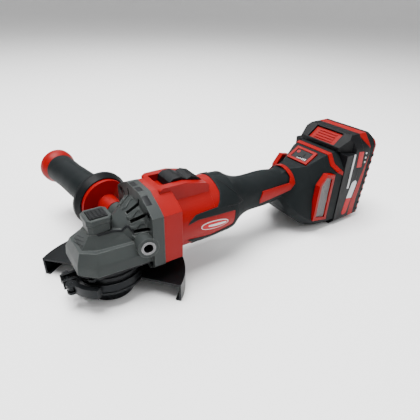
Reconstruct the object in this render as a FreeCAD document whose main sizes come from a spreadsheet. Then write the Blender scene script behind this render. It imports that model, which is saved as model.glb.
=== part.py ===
"""Cordless angle grinder for 125 mm wheels, as an assembly of separate pieces.

The tool is laid out on two crossing axes.  The spindle axis is vertical at x = 0, y = 0, and the
motor axis runs along +X, from the gear head at the front to the battery at the rear.  While the
pieces are drawn, z = 0 is the top of the wheel guard's deck.  At the end every piece is moved so
that the origin lies under the middle of the whole tool, on the surface that it stands on.
"""
import FreeCAD, Part

import math
import os
import re

import Sketcher
from FreeCAD import Placement, Rotation, Vector

# ---------------------------------------------------------------- driving dimensions (millimetres)

DIMENSIONS = [
    # wheel, spindle and flanges
    ("wheel_size", 125.0, "diameter of the wheel that the tool takes"),
    ("thread_radius", 7.0, "M14 spindle thread"),
    ("spindle_shoulder", 7.5, "spindle radius in the lower bearing"),
    ("spindle_neck", 4.0, "spindle radius in the top bearing"),
    ("spindle_low", -17.0, "lower end of the spindle"),
    ("spindle_high", 47.4, "upper end of the spindle"),
    ("flange_radius", 20.3, "clamping flanges"),
    ("flange_bore", 11.1, "pilot for a 22.2 mm wheel bore"),
    # wheel guard
    ("guard_room", 5.0, "gap between the wheel and the outside of the guard's skirt"),
    ("guard_wall", 2.0, "sheet thickness"),
    ("guard_depth", 18.0, "height of the skirt"),
    ("guard_span", 184.0, "angle that the guard covers"),
    ("guard_from", -50.0, "angle where the guard begins"),
    ("collar_radius", 26.5, "neck that carries the guard"),
    ("collar_high", 9.0, "top of the guard's collar"),
    ("band_wall", 1.8, "clamp band thickness"),
    # gear head
    ("head_low", 19.5, "lower edge of the cast head"),
    ("head_mid", 28.0, "crease in the head's side"),
    ("head_top", 37.0, "flat top of the head"),
    ("motor_axis", 38.0, "height of the motor axis"),
    ("tower_top", 60.0, "rim around the lock button"),
    ("plate_front", 28.0, "front of the flange plate"),
    ("plate_back", 38.0, "joint between the head and the motor housing"),
    ("plate_half", 36.0, "half width of the flange plate"),
    ("plate_low", 8.0, "lower edge of the flange plate"),
    ("plate_high", 75.5, "upper edge of the flange plate"),
    ("pinion_pitch", 6.5, "pitch radius of the pinion at its big end"),
    ("crown_pitch", 19.5, "pitch radius of the crown gear"),
    ("pinion_teeth", 12, "teeth on the pinion"),
    ("crown_teeth", 36, "teeth on the crown gear"),
    # side handle
    ("boss_along", 23.4, "place of the handle bosses along X"),
    ("boss_side", 35.3, "face of the handle bosses from the middle"),
    ("boss_height", 36.7, "height of the handle bosses"),
    ("handle_lean", 10.0, "angle that the handle leans forward"),
    ("handle_rise", 2.3, "angle that the handle rises"),
    ("stud_radius", 3.95, "M8 stud"),
    ("insert_bore", 4.0, "M8 thread in the bosses"),
    ("handle_reach", 127.0, "handle length from the boss face"),
    ("handle_radius", 15.5, "grip of the side handle"),
    # motor housing
    ("housing_radius", 30.5, "outside of the motor housing"),
    ("housing_wall", 2.3, "moulded wall"),
    ("band_back", 55.0, "rear of the square band behind the head"),
    ("housing_back", 120.0, "rear of the motor housing"),
    ("overmould_front", 93.0, "front of the rubber overmould on the housing"),
    ("stator_front", 58.0, "front of the stator"),
    ("stator_back", 96.0, "rear of the stator"),
    ("shaft_radius", 5.0, "rotor shaft"),
    ("bearing_width", 8.0, "motor bearings"),
    ("link_height", 24.2, "underside of the switch link above the motor axis"),
    # switch
    ("switch_front", 56.0, "front of the slide switch"),
    ("switch_back", 90.0, "rear of the slide switch"),
    ("switch_half", 10.5, "half width of the slide switch"),
    ("switch_travel", 8.0, "travel of the slide switch"),
    ("surround_top", 77.0, "top of the raised surround"),
    # grip and rear housing
    ("grip_radius", 18.8, "main grip"),
    ("foot_front", 205.0, "where the grip meets the rear housing"),
    ("foot_back", 258.0, "rear face of the rear housing"),
    ("foot_half", 37.0, "half width of the rear housing"),
    ("shell_wall", 2.2, "wall of the grip and rear housing"),
    ("panel_front", 222.0, "front of the panel slope"),
    ("panel_foot", 58.0, "height of the panel slope at its front"),
    ("panel_back", 238.0, "rear of the panel slope"),
    ("panel_head", 67.5, "height of the panel slope at its rear"),
    # battery
    ("battery_back", 307.0, "rear of the battery"),
    ("battery_half", 38.0, "half width of the battery"),
    ("battery_low", -18.0, "underside of the battery"),
    ("battery_high", 88.0, "top of the battery"),
    ("latch_front", 255.0, "front of the latch slope"),
    ("latch_back", 271.0, "rear of the latch slope"),
    ("latch_drop", 12.0, "height of the latch slope"),
    ("latch_half", 18.5, "half width of the latch button"),
    ("cell_radius", 9.1, "one cell"),
    ("cell_length", 65.0, "one cell"),
    # clearances
    ("running_gap", 0.05, "radial clearance of turning fits"),
    ("sliding_gap", 0.4, "clearance of sliding parts"),
    # where the finished tool's origin lies, filled in from its own outline
    ("origin_x", 0.0, "middle of the tool along X"),
    ("origin_y", 0.0, "middle of the tool along Y"),
    ("origin_z", 0.0, "surface that the tool stands on"),
]

doc = FreeCAD.newDocument("AngleGrinder")
sheet = doc.addObject("Spreadsheet::Sheet", "Dims")
ALIASES = {}
for row, (alias, value, note) in enumerate(DIMENSIONS, start=1):
    sheet.set("A%d" % row, alias)
    sheet.set("B%d" % row, str(value))
    sheet.set("C%d" % row, note)
    sheet.setAlias("B%d" % row, alias)
    ALIASES[alias] = "B%d" % row
doc.recompute()

AXIS_TURNS = {
    "X": Rotation(Vector(0, 1, 0), 90),
    "Y": Rotation(Vector(1, 0, 0), -90),
    "Z": Rotation(),
    "-Z": Rotation(Vector(1, 0, 0), 180),
}
NODES = []


def formula(text):
    """Write a sum of dimension names as an expression on the spreadsheet."""
    return re.sub(r"[a-z][a-z_]*[a-z]",
                  lambda word: "Dims." + word.group(0) if word.group(0) in ALIASES else word.group(0),
                  str(text))


def size(text):
    """Value of a sum of dimension names."""
    return float(sheet.evalExpression(formula(text)))


def bind(thing, **sums):
    """Tie properties of an object to sums of dimensions; __ stands for a dot."""
    for prop, text in sums.items():
        thing.setExpression(prop.replace("__", "."), formula(text))
    return thing


def put(thing, at, turn=None):
    """Place an object at a point given by three sums, turned by a rotation."""
    thing.Placement = Placement(Vector(*[size(a) for a in at]), turn or Rotation())
    return bind(thing, Placement__Base__x=at[0], Placement__Base__y=at[1], Placement__Base__z=at[2])


def cylinder(name, radius, length, at=(0, 0, 0), axis="Z"):
    """Round bar that starts at a point and runs along an axis."""
    bar = bind(doc.addObject("Part::Cylinder", name), Radius=radius, Height=length)
    return put(bar, at, AXIS_TURNS[axis] if isinstance(axis, str) else axis)


def cone(name, start_radius, end_radius, length, at=(0, 0, 0), axis="Z"):
    """Tapered bar that starts at a point and runs along an axis."""
    bar = bind(doc.addObject("Part::Cone", name), Radius1=start_radius, Radius2=end_radius, Height=length)
    return put(bar, at, AXIS_TURNS[axis] if isinstance(axis, str) else axis)


def block(name, x, y, z):
    """Box between a low and a high sum on each axis."""
    box = bind(doc.addObject("Part::Box", name),
               Length="%s-(%s)" % (x[1], x[0]), Width="%s-(%s)" % (y[1], y[0]), Height="%s-(%s)" % (z[1], z[0]))
    return put(box, (x[0], y[0], z[0]))


def joined(kind, name, parts):
    """Part boolean of a list of objects."""
    thing = doc.addObject(kind, name)
    thing.Shapes = parts
    return thing


def fuse(name, parts):
    """Union of objects."""
    return joined("Part::MultiFuse", name, parts)


def common(name, parts):
    """What all the objects share."""
    return joined("Part::MultiCommon", name, parts)


def cut(name, base, tool):
    """Base object less a tool, or less a list of tools."""
    if isinstance(tool, list):
        tool = fuse(name + "_tools", tool) if len(tool) > 1 else tool[0]
    thing = doc.addObject("Part::Cut", name)
    thing.Base = base
    thing.Tool = tool
    return thing


def group(name, parts):
    """Several solids that stay separate but share one node."""
    thing = doc.addObject("Part::Compound", name)
    thing.Links = parts
    return thing


def tube(name, outer, inner, length, at=(0, 0, 0), axis="Z"):
    """Round bar with a round hole right through."""
    return cut(name, cylinder(name + "_outside", outer, length, at, axis),
               cylinder(name + "_hole", inner, length, at, axis))


def origin_plane(body, role):
    """One of a body's own origin planes."""
    return next(item for item in body.Origin.OriginFeatures if item.Role == role)


def outline(body, name, plane, points, offset=0):
    """Closed outline of straight runs in a body, every corner tied to the spreadsheet."""
    sketch = body.newObject("Sketcher::SketchObject", name)
    sketch.AttachmentSupport = [(origin_plane(body, plane), "")]
    sketch.MapMode = "FlatFace"
    bind(sketch, AttachmentOffset__Base__z=offset)
    places = [(size(u), size(v)) for u, v in points]
    count = len(points)
    for index in range(count):
        start, end = places[index], places[(index + 1) % count]
        sketch.addGeometry(Part.LineSegment(Vector(*start, 0), Vector(*end, 0)))
    for index in range(count):
        sketch.addConstraint(Sketcher.Constraint("Coincident", index, 2, (index + 1) % count, 1))
    for index, corner in enumerate(points):
        for kind, text in zip(("DistanceX", "DistanceY"), corner):
            number = sketch.addConstraint(Sketcher.Constraint(kind, -1, 1, index, 1, size(text)))
            sketch.setExpression("Constraints[%d]" % number, formula(text))
    return sketch


def mirrored(points):
    """Outline that is the same on both sides of its second axis, from one side's points."""
    return points + [("-(%s)" % u, v) for u, v in reversed(points)]


def prism(name, plane, points, low, high):
    """Outline padded between two places along the plane's normal axis."""
    body = doc.addObject("PartDesign::Body", name)
    start = "-(%s)" % high if plane == "XZ_Plane" else low
    sketch = outline(body, name + "_outline", plane, points, start)
    pad = body.newObject("PartDesign::Pad", name + "_pad")
    pad.Profile = sketch
    bind(pad, Length="%s-(%s)" % (high, low))
    return body


def stacked(name, plane, sections):
    """Straight-sided loft through outlines with equal numbers of corners: (offset, points)."""
    body = doc.addObject("PartDesign::Body", name)
    sketches = [outline(body, "%s_outline_%d" % (name, number), plane, points, offset)
                for number, (offset, points) in enumerate(sections)]
    loft = body.newObject("PartDesign::AdditiveLoft", name + "_loft")
    loft.Profile = sketches[0]
    loft.Sections = sketches[1:]
    loft.Ruled = True
    return body


def turned(name, profile, at=("0", "0", "0"), turn=None):
    """Solid of revolution about +Z of a profile of (radius, height) corners."""
    body = doc.addObject("PartDesign::Body", name)
    sketch = outline(body, name + "_profile", "XZ_Plane", profile)
    revolution = body.newObject("PartDesign::Revolution", name + "_turned")
    revolution.Profile = sketch
    revolution.ReferenceAxis = (sketch, ["V_Axis"])
    revolution.Angle = 360
    return put(body, at, turn)


def round_loft(name, stations, height):
    """Smooth loft along X through circles: (place along X, radius)."""
    rings = []
    for number, (along, radius) in enumerate(stations):
        ring = bind(doc.addObject("Part::Circle", "%s_ring_%d" % (name, number)), Radius=radius)
        rings.append(put(ring, (along, "0", height), AXIS_TURNS["X"]))
    loft = doc.addObject("Part::Loft", name)
    loft.Sections = rings
    loft.Solid = True
    return loft


def node(thing, label):
    """Mark a finished object as a sub-part and name it."""
    thing.Label = label
    if thing.Label != label:
        raise RuntimeError("the name %s is taken" % label)
    NODES.append(thing)
    return thing


def spring(name, radius, wire, length, turns, at, turn=None):
    """Coil spring as a round wire along a helix."""
    helix = bind(doc.addObject("Part::Helix", name + "_helix"),
                 Radius=radius, Height=length, Pitch="(%s)/%s" % (length, turns))
    ring = bind(doc.addObject("Part::Circle", name + "_wire"), Radius=wire)
    put(ring, (radius, "0", "0"), Rotation(Vector(1, 0, 0), 90))
    sweep = doc.addObject("Part::Sweep", name)
    sweep.Sections = [ring]
    sweep.Spine = (helix, ["Edge1"])
    sweep.Solid = True
    sweep.Frenet = True
    return put(sweep, at, turn)


# ---------------------------------------------------------------- gear head

def head_outline(front, front_half, corner, half, back, back_half):
    """Plan of the gear head at one height: narrow front face, cut corners, widening to the rear."""
    side = [(front, front_half), (corner, half), (back, back_half)]
    return side + [(u, "-(%s)" % v) for u, v in reversed(side)]


def plate_outline(inset=0):
    """Flange plate seen from the rear: a square with cut corners and a stepped top."""
    return mirrored([
        ("plate_half-10-%s" % inset, "plate_low+%s" % inset),
        ("plate_half-%s" % inset, "plate_low+8+%s" % inset),
        ("plate_half-%s" % inset, "plate_high-13-%s" % inset),
        ("plate_half-7-%s" % inset, "plate_high-8-%s" % inset),
        ("13-%s/2" % inset, "plate_high-%s" % inset),
    ])


def boss_turn(side):
    """Rotation that points +Z out of a handle boss; side is 1 for the handle's side, else -1."""
    return Rotation(Vector(0, 0, 1), side * size("handle_lean")).multiply(
        Rotation(Vector(1, 0, 0), -side * (90 - size("handle_rise"))))


def boss_point(side, reach):
    """Point on a boss axis at a distance from the boss face."""
    ahead = boss_turn(side).multVec(Vector(0, 0, 1))
    base = Vector(size("boss_along"), side * size("boss_side"), size("boss_height"))
    spot = base + ahead * reach
    return (spot.x, spot.y, spot.z)


def gear_case():
    """Cast gear head: faceted skirt, tower for the lock button, cone and flange plate."""
    skirt = stacked("skirt", "XY_Plane", [
        ("head_low", head_outline("-30.5", "17.3", "-18.3", "28.8", "plate_front+2", "31.5")),
        ("head_mid", head_outline("-29.6", "16.6", "-17.6", "27.6", "plate_front+2", "31")),
        ("head_top", head_outline("-25.9", "13.3", "-14.5", "21.1", "plate_front+2", "24")),
    ])
    shoulder = stacked("shoulder", "XY_Plane", [
        ("head_top-1", head_outline("-24", "11.5", "-13", "18", "plate_front+2", "22")),
        ("head_top+10", head_outline("-15.5", "8", "-12.5", "9.8", "plate_front+2", "14")),
    ])
    rim = head_outline("-15", "7", "-12", "9.8", "2", "9.8")
    tower = prism("tower", "XY_Plane", rim[:3] + [("5", "6.5"), ("5", "-6.5")] + rim[3:],
                  "head_top+8", "tower_top")
    dome = cone("dome", "11", "28", "plate_front-5", ("5", "0", "motor_axis"), "X")
    plate = prism("plate", "YZ_Plane", plate_outline(), "plate_front", "plate_back")
    bosses = [cylinder("boss_%d" % number, "9", "24", boss_point(side, -24), boss_turn(side))
              for number, side in enumerate((1, -1))]
    outside = fuse("head_outside", [skirt, shoulder, tower, dome, plate] + bosses)
    inside = [
        cylinder("gear_room", "crown_pitch+1.2", "head_top-1.4-head_low+1", ("0", "0", "head_low-1")),
        cylinder("spindle_room", "spindle_neck+2.4", "9", ("0", "0", "head_top-2")),
        cylinder("top_bearing_seat", "spindle_neck+2.2", "9", ("0", "0", "motor_axis+1")),
        cylinder("pinion_room", "pinion_pitch+2.5", "22", ("6.5", "0", "motor_axis"), "X"),
        cylinder("front_bearing_seat", "13", "10", ("plate_front-4", "0", "motor_axis"), "X"),
        cylinder("fan_room", "27.8", "8", ("plate_front+4", "0", "motor_axis"), "X"),
        block("button_room", ("-12.6", "3"), ("-7.6", "7.6"), ("tower_top-8", "tower_top+1")),
        cylinder("pin_guide", "2.5+sliding_gap/2", "22", ("-9", "0", "head_top-3")),
        cylinder("spring_room", "4.4", "6", ("-9", "0", "tower_top-13.5")),
    ]
    inside += [cylinder("insert_seat_%d" % number, "6", "16", boss_point(side, -15), boss_turn(side))
               for number, side in enumerate((1, -1))]
    for side in (1, -1):
        for high in (0, 1):
            tag = "%s_%s" % ("left" if side > 0 else "right", "high" if high else "low")
            away = "%d*(plate_half-8)" % side
            level = "plate_high-14" if high else "plate_low+8"
            inside.append(cylinder("screw_way_" + tag, "2.2", "12", ("plate_front-1", away, level), "X"))
            inside.append(cylinder("screw_recess_" + tag, "4.2", "5", ("plate_front-2", away, level), "X"))
    inside.append(block("skirt_floor", ("-5", "plate_front"), ("-30", "30"), ("0", "head_low")))
    inside += vent_slots()
    node(cut("gear_case", outside, inside), "gear_case")


def vent_slots():
    """Air slots through the cone: pairs of narrow bars fanned about the motor axis."""
    slots = []
    for number, angle in enumerate((22, 46, 70, 110, 134, 158)):
        slot = block("vent_slot_%d" % number, ("18", "31"), ("-1.5", "1.5"), ("16", "34"))
        swing = Rotation(Vector(1, 0, 0), angle - 90)
        slot.Placement = Placement(Vector(0, 0, 0), swing)
        middle = swing.multVec(Vector(0, -1.5, 16))
        put(slot, ("18", middle.y, "motor_axis+(%s)" % middle.z), swing)
        slots.append(slot)
    return slots


def handle_inserts():
    """Two threaded steel inserts, one in each handle boss."""
    node(group("handle_inserts", [
        tube("insert_%d" % number, "6", "insert_bore", "15.4", boss_point(side, -15), boss_turn(side))
        for number, side in enumerate((1, -1))]), "handle_inserts")


def bearing_retainer():
    """Cover under the gear head with the bearing seat and the neck that carries the guard."""
    flange = prism("retainer_flange", "XY_Plane",
                   head_outline("-28.6", "15.5", "-17", "26.8", "27", "27.5"), "head_low-4", "head_low")
    neck = cylinder("retainer_neck", "collar_radius", "head_low+1", ("0", "0", "-1"))
    lip = cylinder("retainer_lip", "collar_radius+1.3", "3.5", ("0", "0", "collar_high+0.4"))
    tools = [
        cylinder("retainer_bore", "spindle_shoulder+1.5", "30", ("0", "0", "-5")),
        cylinder("lower_bearing_seat", "16", "9", ("0", "0", "3")),
        cylinder("retainer_relief", "13", "10", ("0", "0", "11.5")),
    ]
    tools += [cylinder("retainer_way_%d" % number, "2.2", "8", (x, y, "head_low-6"))
              for number, (x, y) in enumerate(screw_places())]
    tools += [cylinder("retainer_recess_%d" % number, "3.7", "3.2", (x, y, "head_low-7.2"))
              for number, (x, y) in enumerate(screw_places())]
    node(cut("bearing_retainer", fuse("retainer_solid", [flange, neck, lip]), tools), "bearing_retainer")


def screw_places():
    """Centres of the four retainer screws."""
    return [(x, y) for x in ("-20.5", "20.5") for y in ("-20.5", "20.5")]


def screw(name, shank, length, head, head_height, at, axis):
    """Plain screw: a shank that runs along the axis from under a head with a six-sided socket."""
    turn = AXIS_TURNS[axis]
    back = turn.multVec(Vector(0, 0, -1))
    top = ["%s+(%s)*(%s)" % (at[i], (back.x, back.y, back.z)[i], head_height) for i in range(3)]
    socket = bind(doc.addObject("Part::Prism", name + "_socket"), Circumradius="(%s)*0.5" % head,
                  Height="(%s)*0.6" % head_height)
    put(socket, top, turn)
    return cut(name, fuse(name + "_bar", [cylinder(name + "_shank", shank, length, at, axis),
                                          cylinder(name + "_head", head, head_height, top, axis)]), socket)


def retainer_screws():
    """Four screws that hold the retainer under the gear head."""
    node(group("retainer_screws", [
        screw("retainer_screw_%d" % number, "2.1", "4", "3.6", "2.4", (x, y, "head_low-4"), "Z")
        for number, (x, y) in enumerate(screw_places())]), "retainer_screws")


def head_screws():
    """Four long screws through the flange plate into the motor housing."""
    screws = []
    for side in (1, -1):
        for high in (0, 1):
            level = "plate_high-14" if high else "plate_low+8"
            place = ("plate_front+3", "%d*(plate_half-8)" % side, level)
            screws.append(screw("head_screw_%d%d" % (side > 0, high), "2.1", "22", "4", "2.6", place, "X"))
    node(group("head_screws", screws), "head_screws")


# ---------------------------------------------------------------- spindle group

def spindle_group():
    """Spindle with its bearings, crown gear and flanges."""
    node(turned("spindle", [
        ("0", "spindle_low"), ("thread_radius", "spindle_low"), ("thread_radius", "-4.2"),
        ("spindle_shoulder", "-4.2"), ("spindle_shoulder", "14"), ("9", "14"), ("9", "20"),
        ("6", "20"), ("6", "34"), ("spindle_neck", "34"), ("spindle_neck", "spindle_high"),
        ("0", "spindle_high")]), "spindle")
    for label, inner, outer, low, high in (
            ("spindle_top_bearing", "spindle_neck", "spindle_neck+2.2", "motor_axis+1", "motor_axis+9"),
            ("spindle_lower_bearing", "spindle_shoulder", "16", "3", "12")):
        gap = "running_gap"
        node(tube(label, outer, "%s+%s" % (inner, gap), "%s-(%s)" % (high, low), ("0", "0", low)), label)
    flange = cut("inner_flange", fuse("inner_flange_solid", [
        cylinder("inner_flange_disc", "flange_radius", "4.5", ("0", "0", "-9")),
        cylinder("inner_flange_pilot", "flange_bore", "1", ("0", "0", "-10"))]),
        cylinder("inner_flange_bore", "thread_radius", "8", ("0", "0", "-12")))
    node(flange, "inner_flange")
    nut = cut("outer_flange", cylinder("outer_flange_disc", "flange_radius", "5.5", ("0", "0", "-17")), [
        cylinder("outer_flange_bore", "thread_radius+running_gap", "8", ("0", "0", "-18"))] + [
        cylinder("spanner_hole_%d" % side, "2.6", "3.5", ("%d*13.5" % side, "0", "-18"))
        for side in (1, -1)] + [
        tube("clamp_relief", "15.5", "thread_radius", "1", ("0", "0", "-12.3"))])
    node(nut, "outer_flange")


def tooth_section(reach, root, tip, root_half, tip_half):
    """Corners of one straight tooth or gap, scaled with its distance from the gears' meeting point."""
    scale = reach / size("crown_pitch")
    return [(-root_half * scale, root * scale), (root_half * scale, root * scale),
            (tip_half * scale, tip * scale), (-tip_half * scale, tip * scale)]


def crown_gear():
    """Crown gear: a flat cone with a ring of straight gaps that all point at the crossing of the axes."""
    pitch, drop = size("crown_pitch"), size("pinion_pitch")
    body = doc.addObject("PartDesign::Body", "crown_body")
    outer, inner = pitch + 0.5, pitch - 6.5
    tip = 0.8
    top = lambda radius: "motor_axis-(%s)" % ((drop - tip) * radius / pitch)
    profile = outline(body, "crown_profile", "XZ_Plane", [
        ("6", "22"), ("15", "22"), (outer, "27"), (outer, top(outer)), (inner, top(inner)),
        (inner - 1, "32.5"), ("6", "32.5")])
    blank = body.newObject("PartDesign::Revolution", "crown_blank")
    blank.Profile = profile
    blank.ReferenceAxis = (profile, ["V_Axis"])
    sections = []
    for reach in (outer + 0.6, inner - 0.6):
        corners = tooth_section(reach, -drop - 1.35, -drop + 1.6, 0.62, 1.28)
        sections.append(outline(body, "crown_gap_%d" % reach, "YZ_Plane",
                                [(u, "motor_axis+(%s)" % v) for u, v in corners], reach))
    gap = body.newObject("PartDesign::SubtractiveLoft", "crown_gap")
    gap.Profile = sections[0]
    gap.Sections = sections[1:]
    gap.Ruled = True
    ring = body.newObject("PartDesign::PolarPattern", "crown_gaps")
    ring.Originals = [gap]
    ring.Axis = (next(f for f in body.Origin.OriginFeatures if f.Role == "Z_Axis"), [""])
    ring.Angle = 360
    bind(ring, Occurrences="crown_teeth")
    body.Tip = ring
    holes = [cylinder("lock_hole_%d" % number, "2.8", "7",
                      (9 * math.cos(angle), 9 * math.sin(angle), "28"))
             for number, angle in enumerate([i * math.pi / 2 for i in range(4)])]
    node(cut("crown_drilled", body, holes), "crown_gear")


def pinion_gear():
    """Pinion: a cone with straight teeth, one of them pointing down into the crown gear's first gap."""
    pitch, radius = size("crown_pitch"), size("pinion_pitch")
    body = doc.addObject("PartDesign::Body", "pinion_body")
    outer, inner = pitch + 0.2, pitch - 6.0
    root = lambda reach: (radius - 1.1) * reach / pitch
    profile = outline(body, "pinion_profile", "XZ_Plane", [
        (inner, 0), (inner, root(inner)), (outer, root(outer)), (outer + 3, root(outer)), (outer + 3, 0)])
    blank = body.newObject("PartDesign::Revolution", "pinion_blank")
    blank.Profile = profile
    blank.ReferenceAxis = (profile, ["H_Axis"])
    sections = []
    for reach in (outer, inner):
        corners = tooth_section(reach, -radius + 1.6, -radius - 1.0, 0.85, 0.42)
        sections.append(outline(body, "pinion_tooth_%d" % reach, "YZ_Plane", corners, reach))
    tooth = body.newObject("PartDesign::AdditiveLoft", "pinion_tooth")
    tooth.Profile = sections[0]
    tooth.Sections = sections[1:]
    tooth.Ruled = True
    ring = body.newObject("PartDesign::PolarPattern", "pinion_teeth")
    ring.Originals = [tooth]
    ring.Axis = (next(f for f in body.Origin.OriginFeatures if f.Role == "X_Axis"), [""])
    ring.Angle = 360
    bind(ring, Occurrences="pinion_teeth")
    body.Tip = ring
    put(body, ("0", "0", "motor_axis"))
    bore = cylinder("pinion_bore", "shaft_radius*0.8", "14", (inner - 1, "0", "motor_axis"), "X")
    node(cut("pinion_bored", body, bore), "pinion_gear")


def lock_group():
    """Spindle lock: a ribbed button in the tower, its pin and its spring."""
    cap = block("lock_cap", ("-12.2", "2.6"), ("-7.2", "7.2"), ("tower_top-3", "tower_top+0.6"))
    ribs = [block("lock_rib_%d" % number, ("%s" % (-10.6 + 3.2 * number), "%s" % (-9.2 + 3.2 * number)),
                  ("-6", "6"), ("tower_top+0.6", "tower_top+1.2")) for number in range(4)]
    node(fuse("lock_button", [cap] + ribs), "lock_button")
    pin = cylinder("lock_pin_bar", "2.5", "tower_top-3-head_top+1", ("-9", "0", "head_top-1"))
    node(pin, "lock_pin")
    node(spring("lock_spring", "3.1", "0.4", "8.8", 5, ("-9", "0", "tower_top-12.4")), "lock_spring")


# ---------------------------------------------------------------- wheel guard

def sector(name, radius, low, high):
    """Slice of a round plate over the angle that the guard covers."""
    slice_ = bind(doc.addObject("Part::Cylinder", name), Radius=radius, Height="%s-(%s)" % (high, low),
                  Angle="guard_span")
    put(slice_, ("0", "0", low), Rotation(Vector(0, 0, 1), size("guard_from")))
    slice_.setExpression("Placement.Rotation.Angle", formula("guard_from"))
    return slice_


def wheel_guard():
    """Guard: half-round deck, skirt with a turned-in lip, and a collar that turns on the neck."""
    low = "-guard_depth"
    shell = cut("guard_shell", sector("guard_outside", "wheel_size/2+guard_room", low, "0"),
                sector("guard_inside", "wheel_size/2+guard_room-guard_wall", "%s-1" % low, "-guard_wall"))
    lip = cut("guard_lip", sector("guard_lip_outside", "wheel_size/2+guard_room", low, "%s+guard_wall" % low),
              sector("guard_lip_inside", "wheel_size/2+guard_room-5", "%s-1" % low, "0"))
    ring = cylinder("guard_ring", "collar_radius+4", "guard_wall", ("0", "0", "-guard_wall"))
    collar = cylinder("guard_collar", "collar_radius+1.5", "collar_high+1", ("0", "0", "-1"))
    bore = cylinder("guard_bore", "collar_radius+running_gap", "30", ("0", "0", "-10"))
    node(cut("wheel_guard", fuse("guard_solid", [shell, lip, ring, collar]), bore), "wheel_guard")


def guard_clamp():
    """Clamp band round the guard's collar, with two ears, a cross screw and a quick lever."""
    inner, outer = "collar_radius+1.5", "collar_radius+1.5+band_wall"
    band = tube("band_ring", outer, inner, "collar_high-1.5", ("0", "0", "0.3"))
    gap = block("band_gap", ("-40", "-20"), ("-3", "3"), ("-5", "20"))
    split = cut("band_split", band, gap)
    ears = [block("band_ear_%d" % number, ("-41", "-27.5"), (low, high), ("0.3", "collar_high-0.2"))
            for number, (low, high) in enumerate((("3", "5.5"), ("-5.5", "-3")))]
    ear_holes = [cylinder("ear_hole", "2.3", "30", ("-36", "-15", "4.6"), "Y"),
                 cylinder("ear_trim", inner, "20", ("0", "0", "-5"))]
    node(cut("guard_band", fuse("band_solid", [split] + ears), ear_holes), "guard_band")
    bar = cylinder("clamp_bar", "2.2", "19.5", ("-36", "-8.8", "4.6"), "Y")
    nut = bind(doc.addObject("Part::Prism", "clamp_nut"), Circumradius="4.2", Height="3.4")
    put(nut, ("-36", "5.5", "4.6"), AXIS_TURNS["Y"])
    eye = cylinder("clamp_eye", "3", "3.2", ("-36", "-10.5", "3"))
    pin = cylinder("clamp_pin", "1.5", "9", ("-36", "-10.5", "0.2"))
    node(fuse("clamp_screw", [bar, nut, eye, pin]), "clamp_screw")
    cam = cylinder("lever_cam", "4.2", "9", ("-36", "-10.5", "0"))
    arm = tube("lever_ring", "37.5", "33", "9", ("0", "0", "0"))
    reach = prism("lever_reach", "XY_Plane", [("-36", "-6"), ("-44", "-12"), ("-28", "-36"), ("-17", "-28"),
                                              ("-32", "-10")], "-1", "10")
    lever = fuse("lever_solid", [cam, common("lever_arm", [arm, reach])])
    tools = [cylinder("lever_bore", "1.5+running_gap", "20", ("-36", "-10.5", "-5")),
             cylinder("lever_slot", "4.4", "5", ("-36", "-10.5", "2.1")),
             block("lever_slot_way", ("-40", "-31"), ("-10.5", "-4"), ("2.1", "7.1"))]
    node(cut("clamp_lever", lever, tools), "clamp_lever")


# ---------------------------------------------------------------- motor

def motor_housing():
    """Moulded motor housing: square band at the front, round barrel, raised switch surround."""
    band = prism("housing_band", "YZ_Plane", plate_outline(0.4), "plate_back", "band_back")
    barrel = cylinder("barrel", "housing_radius", "overmould_front-plate_back",
                      ("plate_back", "0", "motor_axis"), "X")
    tail = cone("barrel_tail", "housing_radius-1.6", "housing_radius-3", "housing_back-overmould_front",
                ("overmould_front", "0", "motor_axis"), "X")
    surround = prism("surround", "XZ_Plane", [
        ("plate_back+6", "motor_axis+20"), ("plate_back+6", "surround_top-2"),
        ("plate_back+9", "surround_top"), ("switch_front+12", "surround_top"),
        ("switch_back", "surround_top-5"), ("overmould_front", "motor_axis+housing_radius+0.5"),
        ("overmould_front", "motor_axis+20")], "-18", "18")
    outside = fuse("housing_outside", [band, barrel, tail, surround])
    wall = "housing_wall"
    room = cylinder("housing_room", "housing_radius-%s" % wall, "stator_back+4-plate_back",
                    ("plate_back-1", "0", "motor_axis"), "X")
    tail_room = cone("tail_room", "housing_radius-5.5", "housing_radius-6.5", "housing_back-stator_back-9",
                     ("stator_back+10", "0", "motor_axis"), "X")
    ways = [
        cylinder("rear_bearing_seat", "11", "12", ("stator_back+2", "0", "motor_axis"), "X"),
        block("switch_slot", ("switch_front+16-switch_travel-0.5", "switch_back-9.5"), ("-4.4", "4.4"),
              ("motor_axis+link_height-1", "surround_top+2")),
        block("switch_tray", ("switch_front-switch_travel-1", "switch_back+1"),
              ("-switch_half-0.6", "switch_half+0.6"), ("surround_top-6.5", "surround_top+3")),
        block("link_way", ("switch_back-12", "housing_back+1"), ("-4.4", "4.4"),
              ("motor_axis+12", "motor_axis+link_height+2.6")),
        block("lead_way", ("stator_back", "stator_back+12"), ("-12", "12"),
              ("motor_axis-28", "motor_axis-20")),
    ]
    ways += [cylinder("housing_screw_way_%d%d" % (side > 0, high), "2.1", "19",
                      ("plate_back-1", "%d*(plate_half-8)" % side,
                       "plate_high-14" if high else "plate_low+8"), "X")
             for side in (1, -1) for high in (0, 1)]
    node(cut("motor_housing", outside, [room, tail_room] + ways), "motor_housing")


def housing_overmould():
    """Rubber skin round the rear of the motor housing."""
    outside = cone("overmould_outside", "housing_radius", "housing_radius-1.4",
                   "housing_back-overmould_front", ("overmould_front", "0", "motor_axis"), "X")
    inside = cone("overmould_inside", "housing_radius-1.6", "housing_radius-3",
                  "housing_back-overmould_front", ("overmould_front", "0", "motor_axis"), "X")
    node(cut("housing_overmould", outside, inside), "housing_overmould")


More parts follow.
